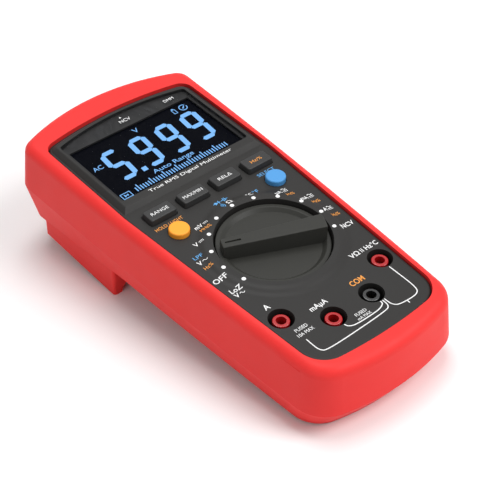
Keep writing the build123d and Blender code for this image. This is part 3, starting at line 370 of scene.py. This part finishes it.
FINISHES: dict[str, Any] = {
    "holster_rubber": Moulded("boot_rubber", srgb(226, 48, 46), 0.52, Grain.RUBBER, 0.08, 0.16, 0.22,
                              waves_mm=0.06),
    "face_plastic": Moulded("face_plastic", srgb(36, 35, 34), 0.48, Grain.SPARK, 0.12, 0.10, 0.20),
    "back_plastic": Moulded("back_plastic", srgb(50, 50, 51), 0.50, Grain.COARSE, 0.10, 0.12, 0.45),
    "seal_rubber": Moulded("seal_rubber", srgb(30, 30, 31), 0.6, Grain.RUBBER),
    "screw_steel": Metal("screw_steel", srgb(190, 190, 188), 0.30, (1.0, 1.0, 8.0)),
    "cell_jacket": Banded("cell_jacket", srgb(36, 44, 70), srgb(196, 132, 60), "Y", 50.0, 0.86, 0.25, 0.6),
    "spring_steel": Metal("spring_steel", srgb(205, 204, 200), 0.22, (1.0, 1.0, 4.0), 0.12),
    "window_clear": Pane("window_clear"),
    "lcd_dark": Moulded("lcd_dark", (0.0004, 0.0006, 0.0020), 0.30, Grain.POLISHED, 0.10, 0.05, 0.02),
    "light_guide": Moulded("light_guide", srgb(214, 226, 240), 0.35, Grain.SATIN, 0.04),
    "zebra_rubber": Banded("zebra_rubber", srgb(28, 26, 30), srgb(176, 150, 160), "X", 1.0, 0.5, 0.5),
    "frame_plastic": Moulded("frame_plastic", srgb(214, 212, 202), 0.45, Grain.SATIN, 0.05),
    "board_laminate": Laminate("board_laminate", srgb(16, 84, 48), srgb(34, 116, 66)),
    "chip_epoxy": Moulded("chip_epoxy", srgb(30, 30, 32), 0.55, Grain.SPARK),
    "shield_tin": Metal("shield_tin", srgb(204, 202, 192), 0.34, (10.0, 1.0, 1.0), 0.2),
    "shunt_alloy": Metal("shunt_alloy", srgb(196, 160, 130), 0.3, (1.0, 1.0, 6.0), 0.25),
    "fuse_ceramic": Banded("fuse_ceramic", srgb(222, 214, 194), srgb(200, 198, 192), "Y", 32.0, 0.80, 0.3,
                           0.9),
    "clip_brass": Metal("clip_brass", srgb(212, 178, 104), 0.25, (1.0, 8.0, 1.0), 0.25),
    "membrane_rubber": Moulded("membrane_rubber", srgb(120, 124, 128), 0.55, Grain.RUBBER, 0.06),
    "key_rubber": Moulded("key_rubber", srgb(42, 42, 42), 0.44, Grain.RUBBER, 0.10, 0.08, 0.26),
    "button_orange": Moulded("button_orange", srgb(250, 160, 48), 0.44, Grain.RUBBER, 0.05, 0.08, 0.26),
    "button_blue": Moulded("button_blue", srgb(76, 146, 206), 0.44, Grain.RUBBER, 0.05, 0.08, 0.26),
    "knob_plastic": Moulded("knob_plastic", srgb(48, 48, 45), 0.40, Grain.SATIN, 0.10, 0.10, 0.16,
                            waves_mm=0.01),
    "jack_red": Moulded("jack_red", srgb(168, 14, 20), 0.26, Grain.POLISHED, 0.06, 0.08, 0.4, 0.2),
    "jack_black": Moulded("jack_black", srgb(22, 22, 23), 0.26, Grain.POLISHED, 0.10, 0.08, 0.5, 0.3),
    "socket_brass": Metal("socket_brass", srgb(216, 184, 118), 0.24, (1.0, 1.0, 6.0), 0.3),
    "stand_plastic": Moulded("stand_plastic", srgb(44, 44, 45), 0.48, Grain.COARSE, 0.10, 0.12, 0.45),
}


# ---- The meter's own axes --------------------------------------------------------------------------


@dataclass(frozen=True)
class CaseAxes:
    """Where the meter's own axes lie in the row frame, read from the knob's joint."""

    origin: np.ndarray
    turn: np.ndarray

    @classmethod
    def from_joint(cls, joint: dict[str, Any]) -> "CaseAxes":
        """The knob's axis is Z; X stays level; Y is Z cross X.

        Args:
            joint: the record's knob joint.

        Returns:
            The axes.
        """
        up = np.array(joint["axis"]) / np.linalg.norm(joint["axis"])
        right = np.array([1.0, 0.0, 0.0])
        turn = np.stack([right, np.cross(up, right), up], axis=1)
        return cls(np.array(joint["pos_m"]) + up * KNOB_PIVOT_DEPTH * MM, turn)

    def to_row(self, points: np.ndarray) -> np.ndarray:
        """Points of the meter, in millimetres, as row points in metres: turn times point, plus origin."""
        return points * MM @ self.turn.T + self.origin

    def direction(self, vector: Sequence[float]) -> np.ndarray:
        """A direction in the meter's axes as one in the row frame."""
        return self.turn @ np.array(vector)


AXES = CaseAxes.from_joint(next(joint for joint in frame["joints"] if joint["name"] == "knob_turn"))


# ---- Raised shapes ---------------------------------------------------------------------------------


def flat(x: np.ndarray, y: np.ndarray) -> np.ndarray:
    """Height of the plain face: nothing everywhere."""
    return np.zeros_like(x)


def cut_corners(points: Sequence[Sequence[float]], rounds: int = 3, share: float = 0.22) -> np.ndarray:
    """A smoother path: each inner corner gives way to two points, a share of the way along its two runs.

    Args:
        points: corners of the path.
        rounds: times the cutting is repeated.
        share: part of a run that is cut off at each end.

    Returns:
        The points of the smoother path, ends kept.
    """
    path = np.array(points, dtype=float)
    for _ in range(rounds):
        near = path[:-1] * (1 - share) + path[1:] * share
        far = path[:-1] * share + path[1:] * (1 - share)
        middle = np.stack([near, far], axis=1).reshape(-1, 2)
        path = np.concatenate([path[:1], middle[1:-1], path[-1:]])
    return path


@dataclass
class Relief:
    """Thin raised shapes of one finish, gathered in the meter's axes and turned into one mesh."""

    low: float
    high: float
    ground: Height = flat
    spots: list[np.ndarray] = field(default_factory=list)
    faces: list[list[int]] = field(default_factory=list)
    count: int = 0

    def take(self, spots: np.ndarray, faces: Sequence[Sequence[int]]) -> None:
        """Add points and the faces that join them.

        Args:
            spots: points in the meter's axes.
            faces: point numbers, counted from the first of these points.
        """
        self.spots.append(spots)
        self.faces.extend([[index + self.count for index in face] for face in faces])
        self.count += len(spots)

    def prism(self, outline: np.ndarray) -> None:
        """A closed slab: the outline at the low height, again at the high height, and a wall between.

        Args:
            outline: corners in order, counter-clockwise from above.
        """
        n = len(outline)
        ground = self.ground(outline[:, 0], outline[:, 1])
        rings = [np.column_stack([outline, ground + level]) for level in (self.low, self.high)]
        walls = [[i, (i + 1) % n, n + (i + 1) % n, n + i] for i in range(n)]
        self.take(np.concatenate(rings), [list(range(n, 2 * n)), list(range(n - 1, -1, -1)), *walls])

    def disc(self, x: float, y: float, radius: float, sides: int = 28) -> None:
        """A round slab: centre plus radius times (cos, sin) of even angles."""
        angle = np.linspace(0, 2 * np.pi, sides, endpoint=False)
        self.prism(np.column_stack([x + radius * np.cos(angle), y + radius * np.sin(angle)]))

    def box(self, x: float, y: float, width: float, height: float, lean: float = 0.0) -> None:
        """A slab with four corners; lean moves the upper edge to the right, as a share of the height."""
        across = np.array([-1, 1, 1, -1]) * width / 2
        up = np.array([-1, -1, 1, 1]) * height / 2
        self.prism(np.column_stack([x + across + lean * up, y + up]))

    def ribbon(self, path: np.ndarray, width: float) -> None:
        """A line of even width: each point moved half the width both ways, along the mean normal of its runs.

        Args:
            path: points along the line's middle.
            width: width of the line.
        """
        run = np.diff(path, axis=0)
        run /= np.linalg.norm(run, axis=1, keepdims=True)
        mean = np.concatenate([run[:1], run[:-1] + run[1:], run[-1:]])
        mean /= np.linalg.norm(mean, axis=1, keepdims=True)
        side = np.column_stack([-mean[:, 1], mean[:, 0]]) * width / 2
        n = len(path)
        rails = []
        for edge, level in ((path + side, self.low), (path - side, self.low), (path - side, self.high),
                            (path + side, self.high)):
            rails.append(np.column_stack([edge, self.ground(edge[:, 0], edge[:, 1]) + level]))
        step = np.arange(n - 1)
        walls = [np.column_stack([a * n + step, b * n + step, b * n + step + 1, a * n + step + 1])
                 for a, b in ((1, 0), (2, 1), (3, 2), (0, 3))]
        ends = [[0, n, 2 * n, 3 * n], [4 * n - 1, 3 * n - 1, 2 * n - 1, n - 1]]
        self.take(np.concatenate(rails), [*np.concatenate(walls).tolist(), *ends])

    def loop(self, outline: np.ndarray, width: float) -> None:
        """A closed line: the outline and a copy of it moved inwards, at two heights, with walls between.

        Args:
            outline: corners in order, counter-clockwise from above.
            width: width of the line.
        """
        run = np.roll(outline, -1, axis=0) - outline
        run /= np.linalg.norm(run, axis=1, keepdims=True)
        mean = run + np.roll(run, 1, axis=0)
        mean /= np.linalg.norm(mean, axis=1, keepdims=True)
        inner = outline + np.column_stack([-mean[:, 1], mean[:, 0]]) * width
        n = len(outline)
        rings = []
        for edge, level in ((outline, self.low), (outline, self.high), (inner, self.high), (inner, self.low)):
            rings.append(np.column_stack([edge, self.ground(edge[:, 0], edge[:, 1]) + level]))
        here = np.arange(n)
        ahead = (here + 1) % n
        walls = [np.column_stack([a * n + here, a * n + ahead, b * n + ahead, b * n + here])
                 for a, b in ((0, 1), (1, 2), (2, 3), (3, 0))]
        self.take(np.concatenate(rings), np.concatenate(walls).tolist())

    def words(self, text: str, x: float, y: float, cap: float, width: float = 0.0, weight: float = 0.0,
              lean: float = 0.0, fine: bool = False) -> None:
        """Raised lettering centred on a point; caps reach half their height above and below it.

        Args:
            text: what it says.
            x: middle of the line.
            y: middle of the caps' height.
            cap: height of a capital.
            width: full width, or 0 for the letters' own.
            weight: how far the strokes are thickened, as a share of the letter size.
            lean: slant, as a share of the height.
            fine: cut the faces small, for lettering that follows a slope.
        """
        curve = bpy.data.curves.new("letters", "FONT")
        curve.body, curve.align_x, curve.extrude = text, "CENTER", 0.02
        curve.offset, curve.resolution_u = weight, 4
        holder = bpy.data.objects.new("letters", curve)
        bpy.context.scene.collection.objects.link(holder)
        shape = bpy.data.meshes.new_from_object(holder.evaluated_get(bpy.context.evaluated_depsgraph_get()))
        if fine:
            cutter = bmesh.new()
            cutter.from_mesh(shape)
            bmesh.ops.triangulate(cutter, faces=cutter.faces)
            bmesh.ops.subdivide_edges(cutter, edges=cutter.edges, cuts=2, use_grid_fill=True)
            cutter.to_mesh(shape)
            cutter.free()
        spots = np.empty(len(shape.vertices) * 3)
        shape.vertices.foreach_get("co", spots)
        spots = spots.reshape(-1, 3)
        faces = [list(face.vertices) for face in shape.polygons]
        bpy.data.objects.remove(holder)
        bpy.data.curves.remove(curve)
        bpy.data.meshes.remove(shape)
        scale = cap / CAP_SHARE
        middle = (spots[:, 0].min() + spots[:, 0].max()) / 2
        span = spots[:, 0].max() - spots[:, 0].min()
        along = (spots[:, 0] - middle) * (width / span if width else scale)
        up = spots[:, 1] * scale - cap / 2
        across, high = x + along + lean * up, y + up
        level = np.where(spots[:, 2] > 0, self.high, self.low) + self.ground(across, high)
        self.take(np.column_stack([across, high, level]), faces)

    def piece(self, name: str, finish: Any, body: str, slot: str) -> bpy.types.Object:
        """Make the mesh, dress it and let it ride on a body.

        Args:
            name: the piece's name.
            finish: the finish it takes.
            body: the CAD body it moves with.
            slot: the record's material slot it belongs to; not used.

        Returns:
            The object.
        """
        mesh = bpy.data.meshes.new(name)
        mesh.from_pydata(AXES.to_row(np.concatenate(self.spots)), [], self.faces)
        mesh.validate()
        mesh.materials.append(dressed(finish))
        made = bpy.data.objects.new(name, mesh)
        bpy.context.scene.collection.objects.link(made)
        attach(made, body)
        log.info("%s: %d faces on %s", name, len(mesh.polygons), body)
        return made


CAP_SHARE = 0.729
WARDROBE: dict[str, bpy.types.Material] = {}


def dressed(finish: Any) -> bpy.types.Material:
    """The material of a finish, made once.

    Args:
        finish: a finish with a name and a material method.

    Returns:
        The material.
    """
    if finish.name not in WARDROBE:
        WARDROBE[finish.name] = finish.material()
    return WARDROBE[finish.name]


def dress_nodes() -> None:
    """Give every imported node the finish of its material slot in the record."""
    for entry in frame["record"]["subparts"]:
        node = frame["nodes"][entry["node"]]
        finish = FINISHES[entry["material_slot"]]
        for place in node.material_slots:
            place.material = dressed(finish)
        log.info("%s: %s", entry["node"], finish.name)


# ---- Face print ------------------------------------------------------------------------------------


class Symbol(Enum):
    """Small signs drawn with lines after a unit."""

    STEADY = "steady"
    WAVE = "wave"
    BOTH = "both"


@dataclass(frozen=True)
class Label:
    """One printed word: text, middle, cap height, width and the sign after it."""

    text: str
    x: float
    y: float
    cap: float
    width: float = 0.0
    symbol: Symbol | None = None


@dataclass
class Face:
    """Print on the face: switch positions, key names, jack names and the lines between the jacks."""

    dial_foot: float = 30.4
    dial_top: float = 25.2
    dial_rise: float = 1.2
    bezel_rise: float = 1.9
    film: float = 0.05
    dot_ring: float = 24.75
    dot_radius: float = 0.85
    dot_angles: tuple[float, ...] = (202.5, 180, 157.5, 135, 112.5, 90, 67.5, 45, 22.5, 0, -22.5)
    line: float = 0.42
    bold: float = 0.012
    bold_from: float = 2.2

    def height(self, x: np.ndarray, y: np.ndarray) -> np.ndarray:
        """Height of the face around the dial: level, then two equal arcs that meet half way up, then level.

        An arc's radius is its run squared plus its rise squared, over twice its rise.
        """
        run, rise = (self.dial_foot - self.dial_top) / 2, self.dial_rise / 2
        radius = (run ** 2 + rise ** 2) / (2 * rise)
        inward = np.clip(self.dial_foot - np.hypot(x, y), 0, 2 * run)
        from_end = np.minimum(inward, 2 * run - inward)
        climb = radius - np.sqrt(radius ** 2 - from_end ** 2)
        return np.where(inward < run, climb, self.dial_rise - climb)

    def sheet(self, level: float = 0.0) -> Relief:
        """An empty ink film that follows the dial, from just under to just over the surface."""
        return Relief(level - self.film, level + self.film, self.height)

    def sign(self, relief: Relief, symbol: Symbol, x: float, y: float, size: float) -> None:
        """A sign for steady, alternating or both kinds of current.

        Args:
            relief: where it is drawn.
            symbol: which sign.
            x: its middle.
            y: its middle.
            size: its width.
        """
        along = np.linspace(-0.5, 0.5, 13)
        wave = np.column_stack([x + along * size, y + 0.20 * size * np.sin(-2 * np.pi * along)])
        stroke = 0.13 * size
        if symbol is Symbol.WAVE:
            relief.ribbon(wave, stroke)
            return
        base = y + (0.0 if symbol is Symbol.STEADY else -0.26 * size)
        relief.box(x, base + 0.14 * size, size, stroke)
        for step in (-1, 0, 1):
            relief.box(x + step * 0.36 * size, base - 0.20 * size, 0.24 * size, stroke)
        if symbol is Symbol.BOTH:
            relief.ribbon(wave + (0.0, 0.40 * size), stroke)

    def print_labels(self, relief: Relief, labels: Sequence[Label]) -> None:
        """Print labels, each with its sign to the right of the last letter.

        Args:
            relief: the ink film.
            labels: what is printed.
        """
        for label in labels:
            width = label.width or 0.72 * label.cap * len(label.text)
            sign = 0.95 * label.cap if label.symbol else 0.0
            middle = label.x - sign * 0.5 - (0.12 * label.cap if sign else 0.0)
            weight = self.bold if label.cap >= self.bold_from else 0.0
            relief.words(label.text, middle, label.y, label.cap, width, weight, fine=True)
            if label.symbol:
                after = middle + width / 2 + 0.24 * label.cap + sign / 2
                self.sign(relief, label.symbol, after, label.y, sign)

    def dots(self, relief: Relief) -> None:
        """One dot for each switch position, on a ring around the knob."""
        for angle in np.radians(self.dot_angles):
            relief.disc(self.dot_ring * np.cos(angle), self.dot_ring * np.sin(angle), self.dot_radius)

    def jack_lines(self, relief: Relief) -> None:
        """Rounded lines that pair each jack with the common one."""
        ampere = ((-24.7, -46.0), (-24.7, -52.6), (-22.3, -54.6), (8.0, -53.9), (9.9, -52.2), (9.9, -49.2))
        milliampere = ((-9.3, -49.2), (-8.8, -50.8), (-6.2, -52.0), (5.4, -52.0), (8.8, -50.6), (8.9, -49.1))
        volt = ((10.9, -49.1), (11.0, -52.6), (12.8, -54.7), (21.3, -55.2), (24.3, -53.2), (24.3, -38.2))
        for corners in (ampere, milliampere, volt):
            relief.ribbon(cut_corners(corners), self.line)
        relief.ribbon(np.array([(16.8, -55.2), (16.8, -56.4)]), self.line)

    def component_signs(self, relief: Relief) -> None:
        """Signs of a diode, a capacitor and a sounder beside the ohm mark."""
        relief.prism(np.array([(-3.9, 29.6), (-2.2, 30.5), (-3.9, 31.4)]))
        relief.box(-2.0, 30.5, 0.35, 1.9)
        relief.box(-3.0, 30.5, 3.4, 0.3)
        for x in (0.35, 1.05):
            relief.box(x, 30.5, 0.35, 2.0)
        relief.box(-0.35, 30.5, 1.2, 0.3)
        relief.box(1.75, 30.5, 1.2, 0.3)
        arc = np.radians(np.linspace(-50, 50, 9))
        for radius in (0.7, 1.35, 2.0):
            relief.ribbon(np.column_stack([-3.6 + radius * np.cos(arc), 27.5 + radius * np.sin(arc)]), 0.32)

    def build(self) -> None:
        """Make the three ink films on the face."""
        white = self.sheet()
        self.dots(white)
        self.jack_lines(white)
        self.print_labels(white, (
            Label("mV", -15.9, 24.4, 2.2, 3.6, Symbol.STEADY),
            Label("V", -23.0, 17.0, 2.2, 2.0, Symbol.STEADY),
            Label("V", -28.2, 8.2, 2.2, 2.0, Symbol.WAVE), Label("OFF", -29.2, -3.3, 2.5, 6.2),
            Label("LoZ", -28.0, -10.9, 2.3, 5.2), Label("V", -28.3, -13.6, 2.2, 2.0, Symbol.WAVE),
            Label("Ω", 0.9, 27.7, 2.3, 2.4), Label("°C", 9.9, 26.0, 2.1, 2.9),
            Label("µA", 20.9, 19.6, 2.2, 3.4, Symbol.BOTH), Label("mA", 26.6, 10.6, 2.2, 3.8, Symbol.BOTH),
            Label("A", 28.4, 0.4, 2.2, 2.0, Symbol.BOTH), Label("NCV", 28.2, -11.0, 2.3, 6.2),
            Label("A", -25.3, -24.9, 2.7, 2.4), Label("mAµA", -10.0, -36.0, 2.5, 8.0),
            Label("VΩ", 18.6, -25.2, 2.3, 4.6), Label("Hz°C", 27.2, -25.2, 2.3, 6.2),
            Label("FUSED", -22.4, -40.6, 1.6, 5.6), Label("10A MAX", -22.4, -43.1, 1.6, 7.4),
            Label("FUSED", -0.6, -48.6, 1.5, 5.2), Label("mA MAX", -0.6, -50.6, 1.4, 6.4)))
        for x in (22.0, 22.8):
            white.box(x, -25.2, 0.3, 2.0)
        white.piece("face_print_white", WHITE_INK, "case", "face_plastic")

        orange = self.sheet()
        self.print_labels(orange, (
            Label("MHz%", -15.9, 21.6, 1.7, 5.0), Label("Hz%", -28.2, 4.7, 1.7, 3.8),
            Label("Hz%", 23.0, 16.2, 1.7, 3.8), Label("Hz%", 28.0, 6.6, 1.7, 3.8),
            Label("Hz%", 28.8, -3.9, 1.7, 3.8),
            Label("HOLD / LIGHT", -24.9, 32.9, 1.75, 13.0), Label("COM", 9.5, -36.0, 2.6, 6.6)))
        orange.piece("face_print_orange", ORANGE_INK, "case", "face_plastic")

        blue = self.sheet()
        self.component_signs(blue)
        self.print_labels(blue, (
            Label("LPF", -27.9, 11.4, 1.8, 4.2), Label("°F", 13.4, 26.2, 2.1, 2.7),
            Label("SELECT", 24.6, 32.9, 1.75, 8.6)))
        blue.piece("face_print_blue", BLUE_INK, "case", "face_plastic")

        title = Relief(self.bezel_rise - self.film, self.bezel_rise + self.film)
        title.words("True RMS Digital Multimeter", 0.6, 51.5, 1.7, 42.0)
        title.piece("title_print", WHITE_INK, "case", "face_plastic")


# ---- Display ---------------------------------------------------------------------------------------


SEGMENTS = {"5": "afgcd", "9": "abcdfg"}


@dataclass
class Display:
    """Lit segments on the display glass and the print on the window over it."""

    glass_top: float = -0.4
    window_top: float = 1.5
    digit_width: float = 8.8
    digit_low: float = 64.6
    digit_high: float = 84.6
    stroke: float = 2.3
    gap: float = 0.22
    point: float = 0.40
    lean: float = 0.09
    digits: tuple[tuple[str, float], ...] = (("5", -18.3), ("9", -4.4), ("9", 9.2), ("9", 22.6))
    tick_pitch: float = 1.315

    def bar(self, relief: Relief, start: tuple[float, float], end: tuple[float, float]) -> None:
        """One segment: a bar with pointed ends, its six corners worked out from its two end points.

        Args:
            relief: where it is drawn.
            start: first tip, before the slant.
            end: last tip, before the slant.
        """
        first, last = np.array(start), np.array(end)
        along = (last - first) / np.linalg.norm(last - first)
        side = np.array([-along[1], along[0]]) * self.stroke / 2
        first, last = first + along * self.gap, last - along * self.gap
        shoulder = along * self.stroke * self.point
        corners = np.array([first, first + shoulder - side, last - shoulder - side,
                            last, last - shoulder + side, first + shoulder + side])
        middle = (self.digit_low + self.digit_high) / 2
        corners[:, 0] += self.lean * (corners[:, 1] - middle)
        relief.prism(corners)

    def digit(self, relief: Relief, figure: str, x: float) -> None:
        """One seven-segment figure, from tips on a grid two wide and three high."""
        left, right = x - self.digit_width / 2 + self.stroke / 2, x + self.digit_width / 2 - self.stroke / 2
        low, high = self.digit_low + self.stroke / 2, self.digit_high - self.stroke / 2
        middle = (low + high) / 2
        tips = {"a": ((left, high), (right, high)), "b": ((right, middle), (right, high)),
                "c": ((right, low), (right, middle)), "d": ((left, low), (right, low)),
                "e": ((left, low), (left, middle)), "f": ((left, middle), (left, high)),
                "g": ((left, middle), (right, middle))}
        for name in SEGMENTS[figure]:
            self.bar(relief, *tips[name])

    def ticks(self, relief: Relief) -> None:
        """The bar graph: a row of short ticks with every fifth one tall."""
        for index in range(36):
            tall = index % 5 == 1
            top = 60.2 if tall else 58.9
            relief.box(-22.0 + index * self.tick_pitch, (56.3 + top) / 2, 0.5, top - 56.3)

    def icons(self, relief: Relief) -> None:
        """A cell sign in a frame, a second small cell and a dial with a hand."""
        frame_corners = np.array([(-29.6, 55.5), (-24.9, 55.5), (-24.9, 58.9), (-29.6, 58.9)])
        relief.loop(frame_corners, 0.45)
        for x, height in ((-28.0, 1.6), (-26.6, 1.0)):
            relief.box(x, 57.2, 0.45, height)
        relief.box(-27.3, 57.2, 1.4, 0.4)
        relief.loop(np.array([(20.0, 86.6), (21.8, 86.6), (21.8, 89.6), (20.0, 89.6)]), 0.4)
        relief.box(20.9, 90.0, 0.9, 0.5)
        turn = np.radians(np.linspace(50, 370, 30))
        relief.ribbon(np.column_stack([25.6 + 1.8 * np.cos(turn), 88.2 + 1.8 * np.sin(turn)]), 0.4)
        relief.prism(np.array([(24.9, 87.9), (25.5, 87.4), (27.4, 89.9)]))

    def build(self) -> None:
        """Make the lit pieces and the window's print."""
        lit = Relief(self.glass_top + 0.01, self.glass_top + 0.08)
        for figure, x in self.digits:
            self.digit(lit, figure, x)
        lit.box(-11.7, 65.9, 2.3, 2.5, 0.09)
        self.ticks(lit)
        self.icons(lit)
        lit.words("AC", -26.4, 78.0, 2.7, 4.6, 0.0)
        lit.words("V", 0.3, 88.4, 2.9, 2.6, 0.0)
        lit.words("Auto Range", -0.2, 62.0, 2.5, 20.4, 0.0)
        lit.piece("display_segments", SEGMENT_LIGHT, "case", "lcd_dark")

        printed = Relief(self.window_top - 0.02, self.window_top + 0.04)
        printed.words("NCV", -0.3, 94.9, 1.9, 5.4)
        printed.prism(np.array([(-1.5, 97.0), (-0.5, 97.0), (-1.0, 98.0)]))
        printed.words("DMM", 22.6, 94.6, 1.7, 5.0)
        printed.piece("window_print", WHITE_INK, "case", "window_clear")


# ---- Keys ------------------------------------------------------------------------------------------


@dataclass
class Keys:
    """Names printed on the tops of the four rectangular keys."""

    pitch: float = 16.4
    row: float = 39.2
    top: float = 2.4
    names: tuple[tuple[str, str, float, Ink], ...] = (
        ("range_key", "RANGE", 8.2, WHITE_INK), ("peak_key", "MAX/MIN", 9.4, WHITE_INK),
        ("relative_key", "RELΔ", 6.6, WHITE_INK), ("frequency_key", "Hz/%", 5.6, ORANGE_INK))

    def build(self) -> None:
        """One ink film for each key, riding on that key."""
        for column, (body, text, width, ink) in enumerate(self.names):
            film = Relief(self.top - 0.03, self.top + 0.04)
            film.words(text, (column - 1.5) * self.pitch, self.row, 1.75, width)
            film.piece(f"{body}_print", ink, body, "key_rubber")


# ---- Studio ----------------------------------------------------------------------------------------


@dataclass
class Studio:
    """Pale floor, even sky, three soft lamps and the camera."""

    camera_spot: tuple[float, float, float] = (-252.39, -273.93, 345.59)
    camera_right: tuple[float, float, float] = (0.7651, -0.6438, 0.0115)
    camera_up: tuple[float, float, float] = (0.4315, 0.5259, 0.7330)
    lens: float = 99.68
    floor_half: float = 4.0
    sky: float = 0.36

    def floor(self) -> None:
        """A wide square at z = 0, of a pale matt finish with the faintest mottling."""
        half = self.floor_half
        mesh = bpy.data.meshes.new("floor")
        square = [(-half, -half, 0), (half, -half, 0), (half, half, 0), (-half, half, 0)]
        mesh.from_pydata(square, [], [(0, 1, 2, 3)])
        tree = Tree("floor_paper")
        tone = tree.blend(tree.noise(60.0), (0.90, 0.90, 0.90), (0.92, 0.92, 0.92))
        mesh.materials.append(tree.surface(tree.node("ShaderNodeBsdfPrincipled", None, {
            "Base Color": tone, "Roughness": 0.9, "Specular IOR Level": 0.1})))
        made = bpy.data.objects.new("floor", mesh)
        bpy.context.scene.collection.objects.link(made)

    def world(self) -> None:
        """White to the camera, to mirrors and through glass; a softer light on everything else."""
        world = bpy.data.worlds.new("sky")
        world.use_nodes = True
        nodes, links = world.node_tree.nodes, world.node_tree.links
        background = nodes["Background"]
        path = nodes.new("ShaderNodeLightPath")
        seen = nodes.new("ShaderNodeMath")
        seen.operation = "MAXIMUM"
        through = nodes.new("ShaderNodeMath")
        through.operation = "MAXIMUM"
        level = nodes.new("ShaderNodeMapRange")
        links.new(path.outputs["Is Camera Ray"], seen.inputs[0])
        links.new(path.outputs["Is Glossy Ray"], seen.inputs[1])
        links.new(seen.outputs[0], through.inputs[0])
        links.new(path.outputs["Is Transmission Ray"], through.inputs[1])
        links.new(through.outputs[0], level.inputs["Value"])
        level.inputs["To Min"].default_value = self.sky
        level.inputs["To Max"].default_value = 1.0
        links.new(level.outputs["Result"], background.inputs["Strength"])
        background.inputs["Color"].default_value = (1.0, 1.0, 1.0, 1.0)
        bpy.context.scene.world = world

    def lamp(self, name: str, spot: tuple[float, float, float], size: float, power: float) -> None:
        """A square area lamp that faces the meter.

        Args:
            name: its name.
            spot: where it hangs, in metres in the row frame.
            size: its side.
            power: its power in watts.
        """
        light = bpy.data.lights.new(name, "AREA")
        light.size, light.energy = size, power
        made = bpy.data.objects.new(name, light)
        back = np.array(spot) / np.linalg.norm(spot)
        side = np.cross((0.0, 0.0, 1.0), back) if abs(back[2]) < 0.99 else np.array((1.0, 0.0, 0.0))
        side /= np.linalg.norm(side)
        basis = np.eye(4)
        basis[:3, 0], basis[:3, 1], basis[:3, 2], basis[:3, 3] = side, np.cross(back, side), back, spot
        made.matrix_world = Matrix(basis.tolist())
        bpy.context.scene.collection.objects.link(made)

    def camera(self) -> None:
        """The camera, from its spot and its right and up directions in the meter's axes."""
        data = bpy.data.cameras.new("camera")
        data.lens, data.sensor_width = self.lens, 36.0
        data.clip_start, data.clip_end = 0.01, 50.0
        right, up = AXES.direction(self.camera_right), AXES.direction(self.camera_up)
        right /= np.linalg.norm(right)
        up -= right * (up @ right)
        up /= np.linalg.norm(up)
        basis = np.eye(4)
        basis[:3, 0], basis[:3, 1], basis[:3, 2] = right, up, np.cross(right, up)
        basis[:3, 3] = AXES.to_row(np.array(self.camera_spot))
        made = bpy.data.objects.new("camera", data)
        made.matrix_world = Matrix(basis.tolist())
        bpy.context.scene.collection.objects.link(made)
        bpy.context.scene.camera = made

    def build(self) -> None:
        """Set up everything around the meter."""
        self.floor()
        self.world()
        self.camera()
        self.lamp("key_lamp", (0.55, -0.75, 0.95), 0.70, 11.0)
        self.lamp("top_lamp", (0.12, 0.20, 1.15), 0.60, 7.5)
        self.lamp("side_lamp", (-0.95, -0.35, 0.55), 0.70, 1.5)
        view = bpy.context.scene.view_settings
        view.view_transform = "Standard"


def corners(pair: Sequence[Sequence[float]]) -> list[list[float]]:
    """A box's two corners as plain lists."""
    return [[float(value) for value in corner] for corner in pair]


def main() -> None:
    """Build every sub-assembly in order."""
    logging.basicConfig(level=logging.INFO, format="%(name)s: %(message)s")
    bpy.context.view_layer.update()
    dress_nodes()
    Face().build()
    Display().build()
    Keys().build()
    Studio().build()
    bpy.context.view_layer.update()


if __name__ == "__main__":
    main()
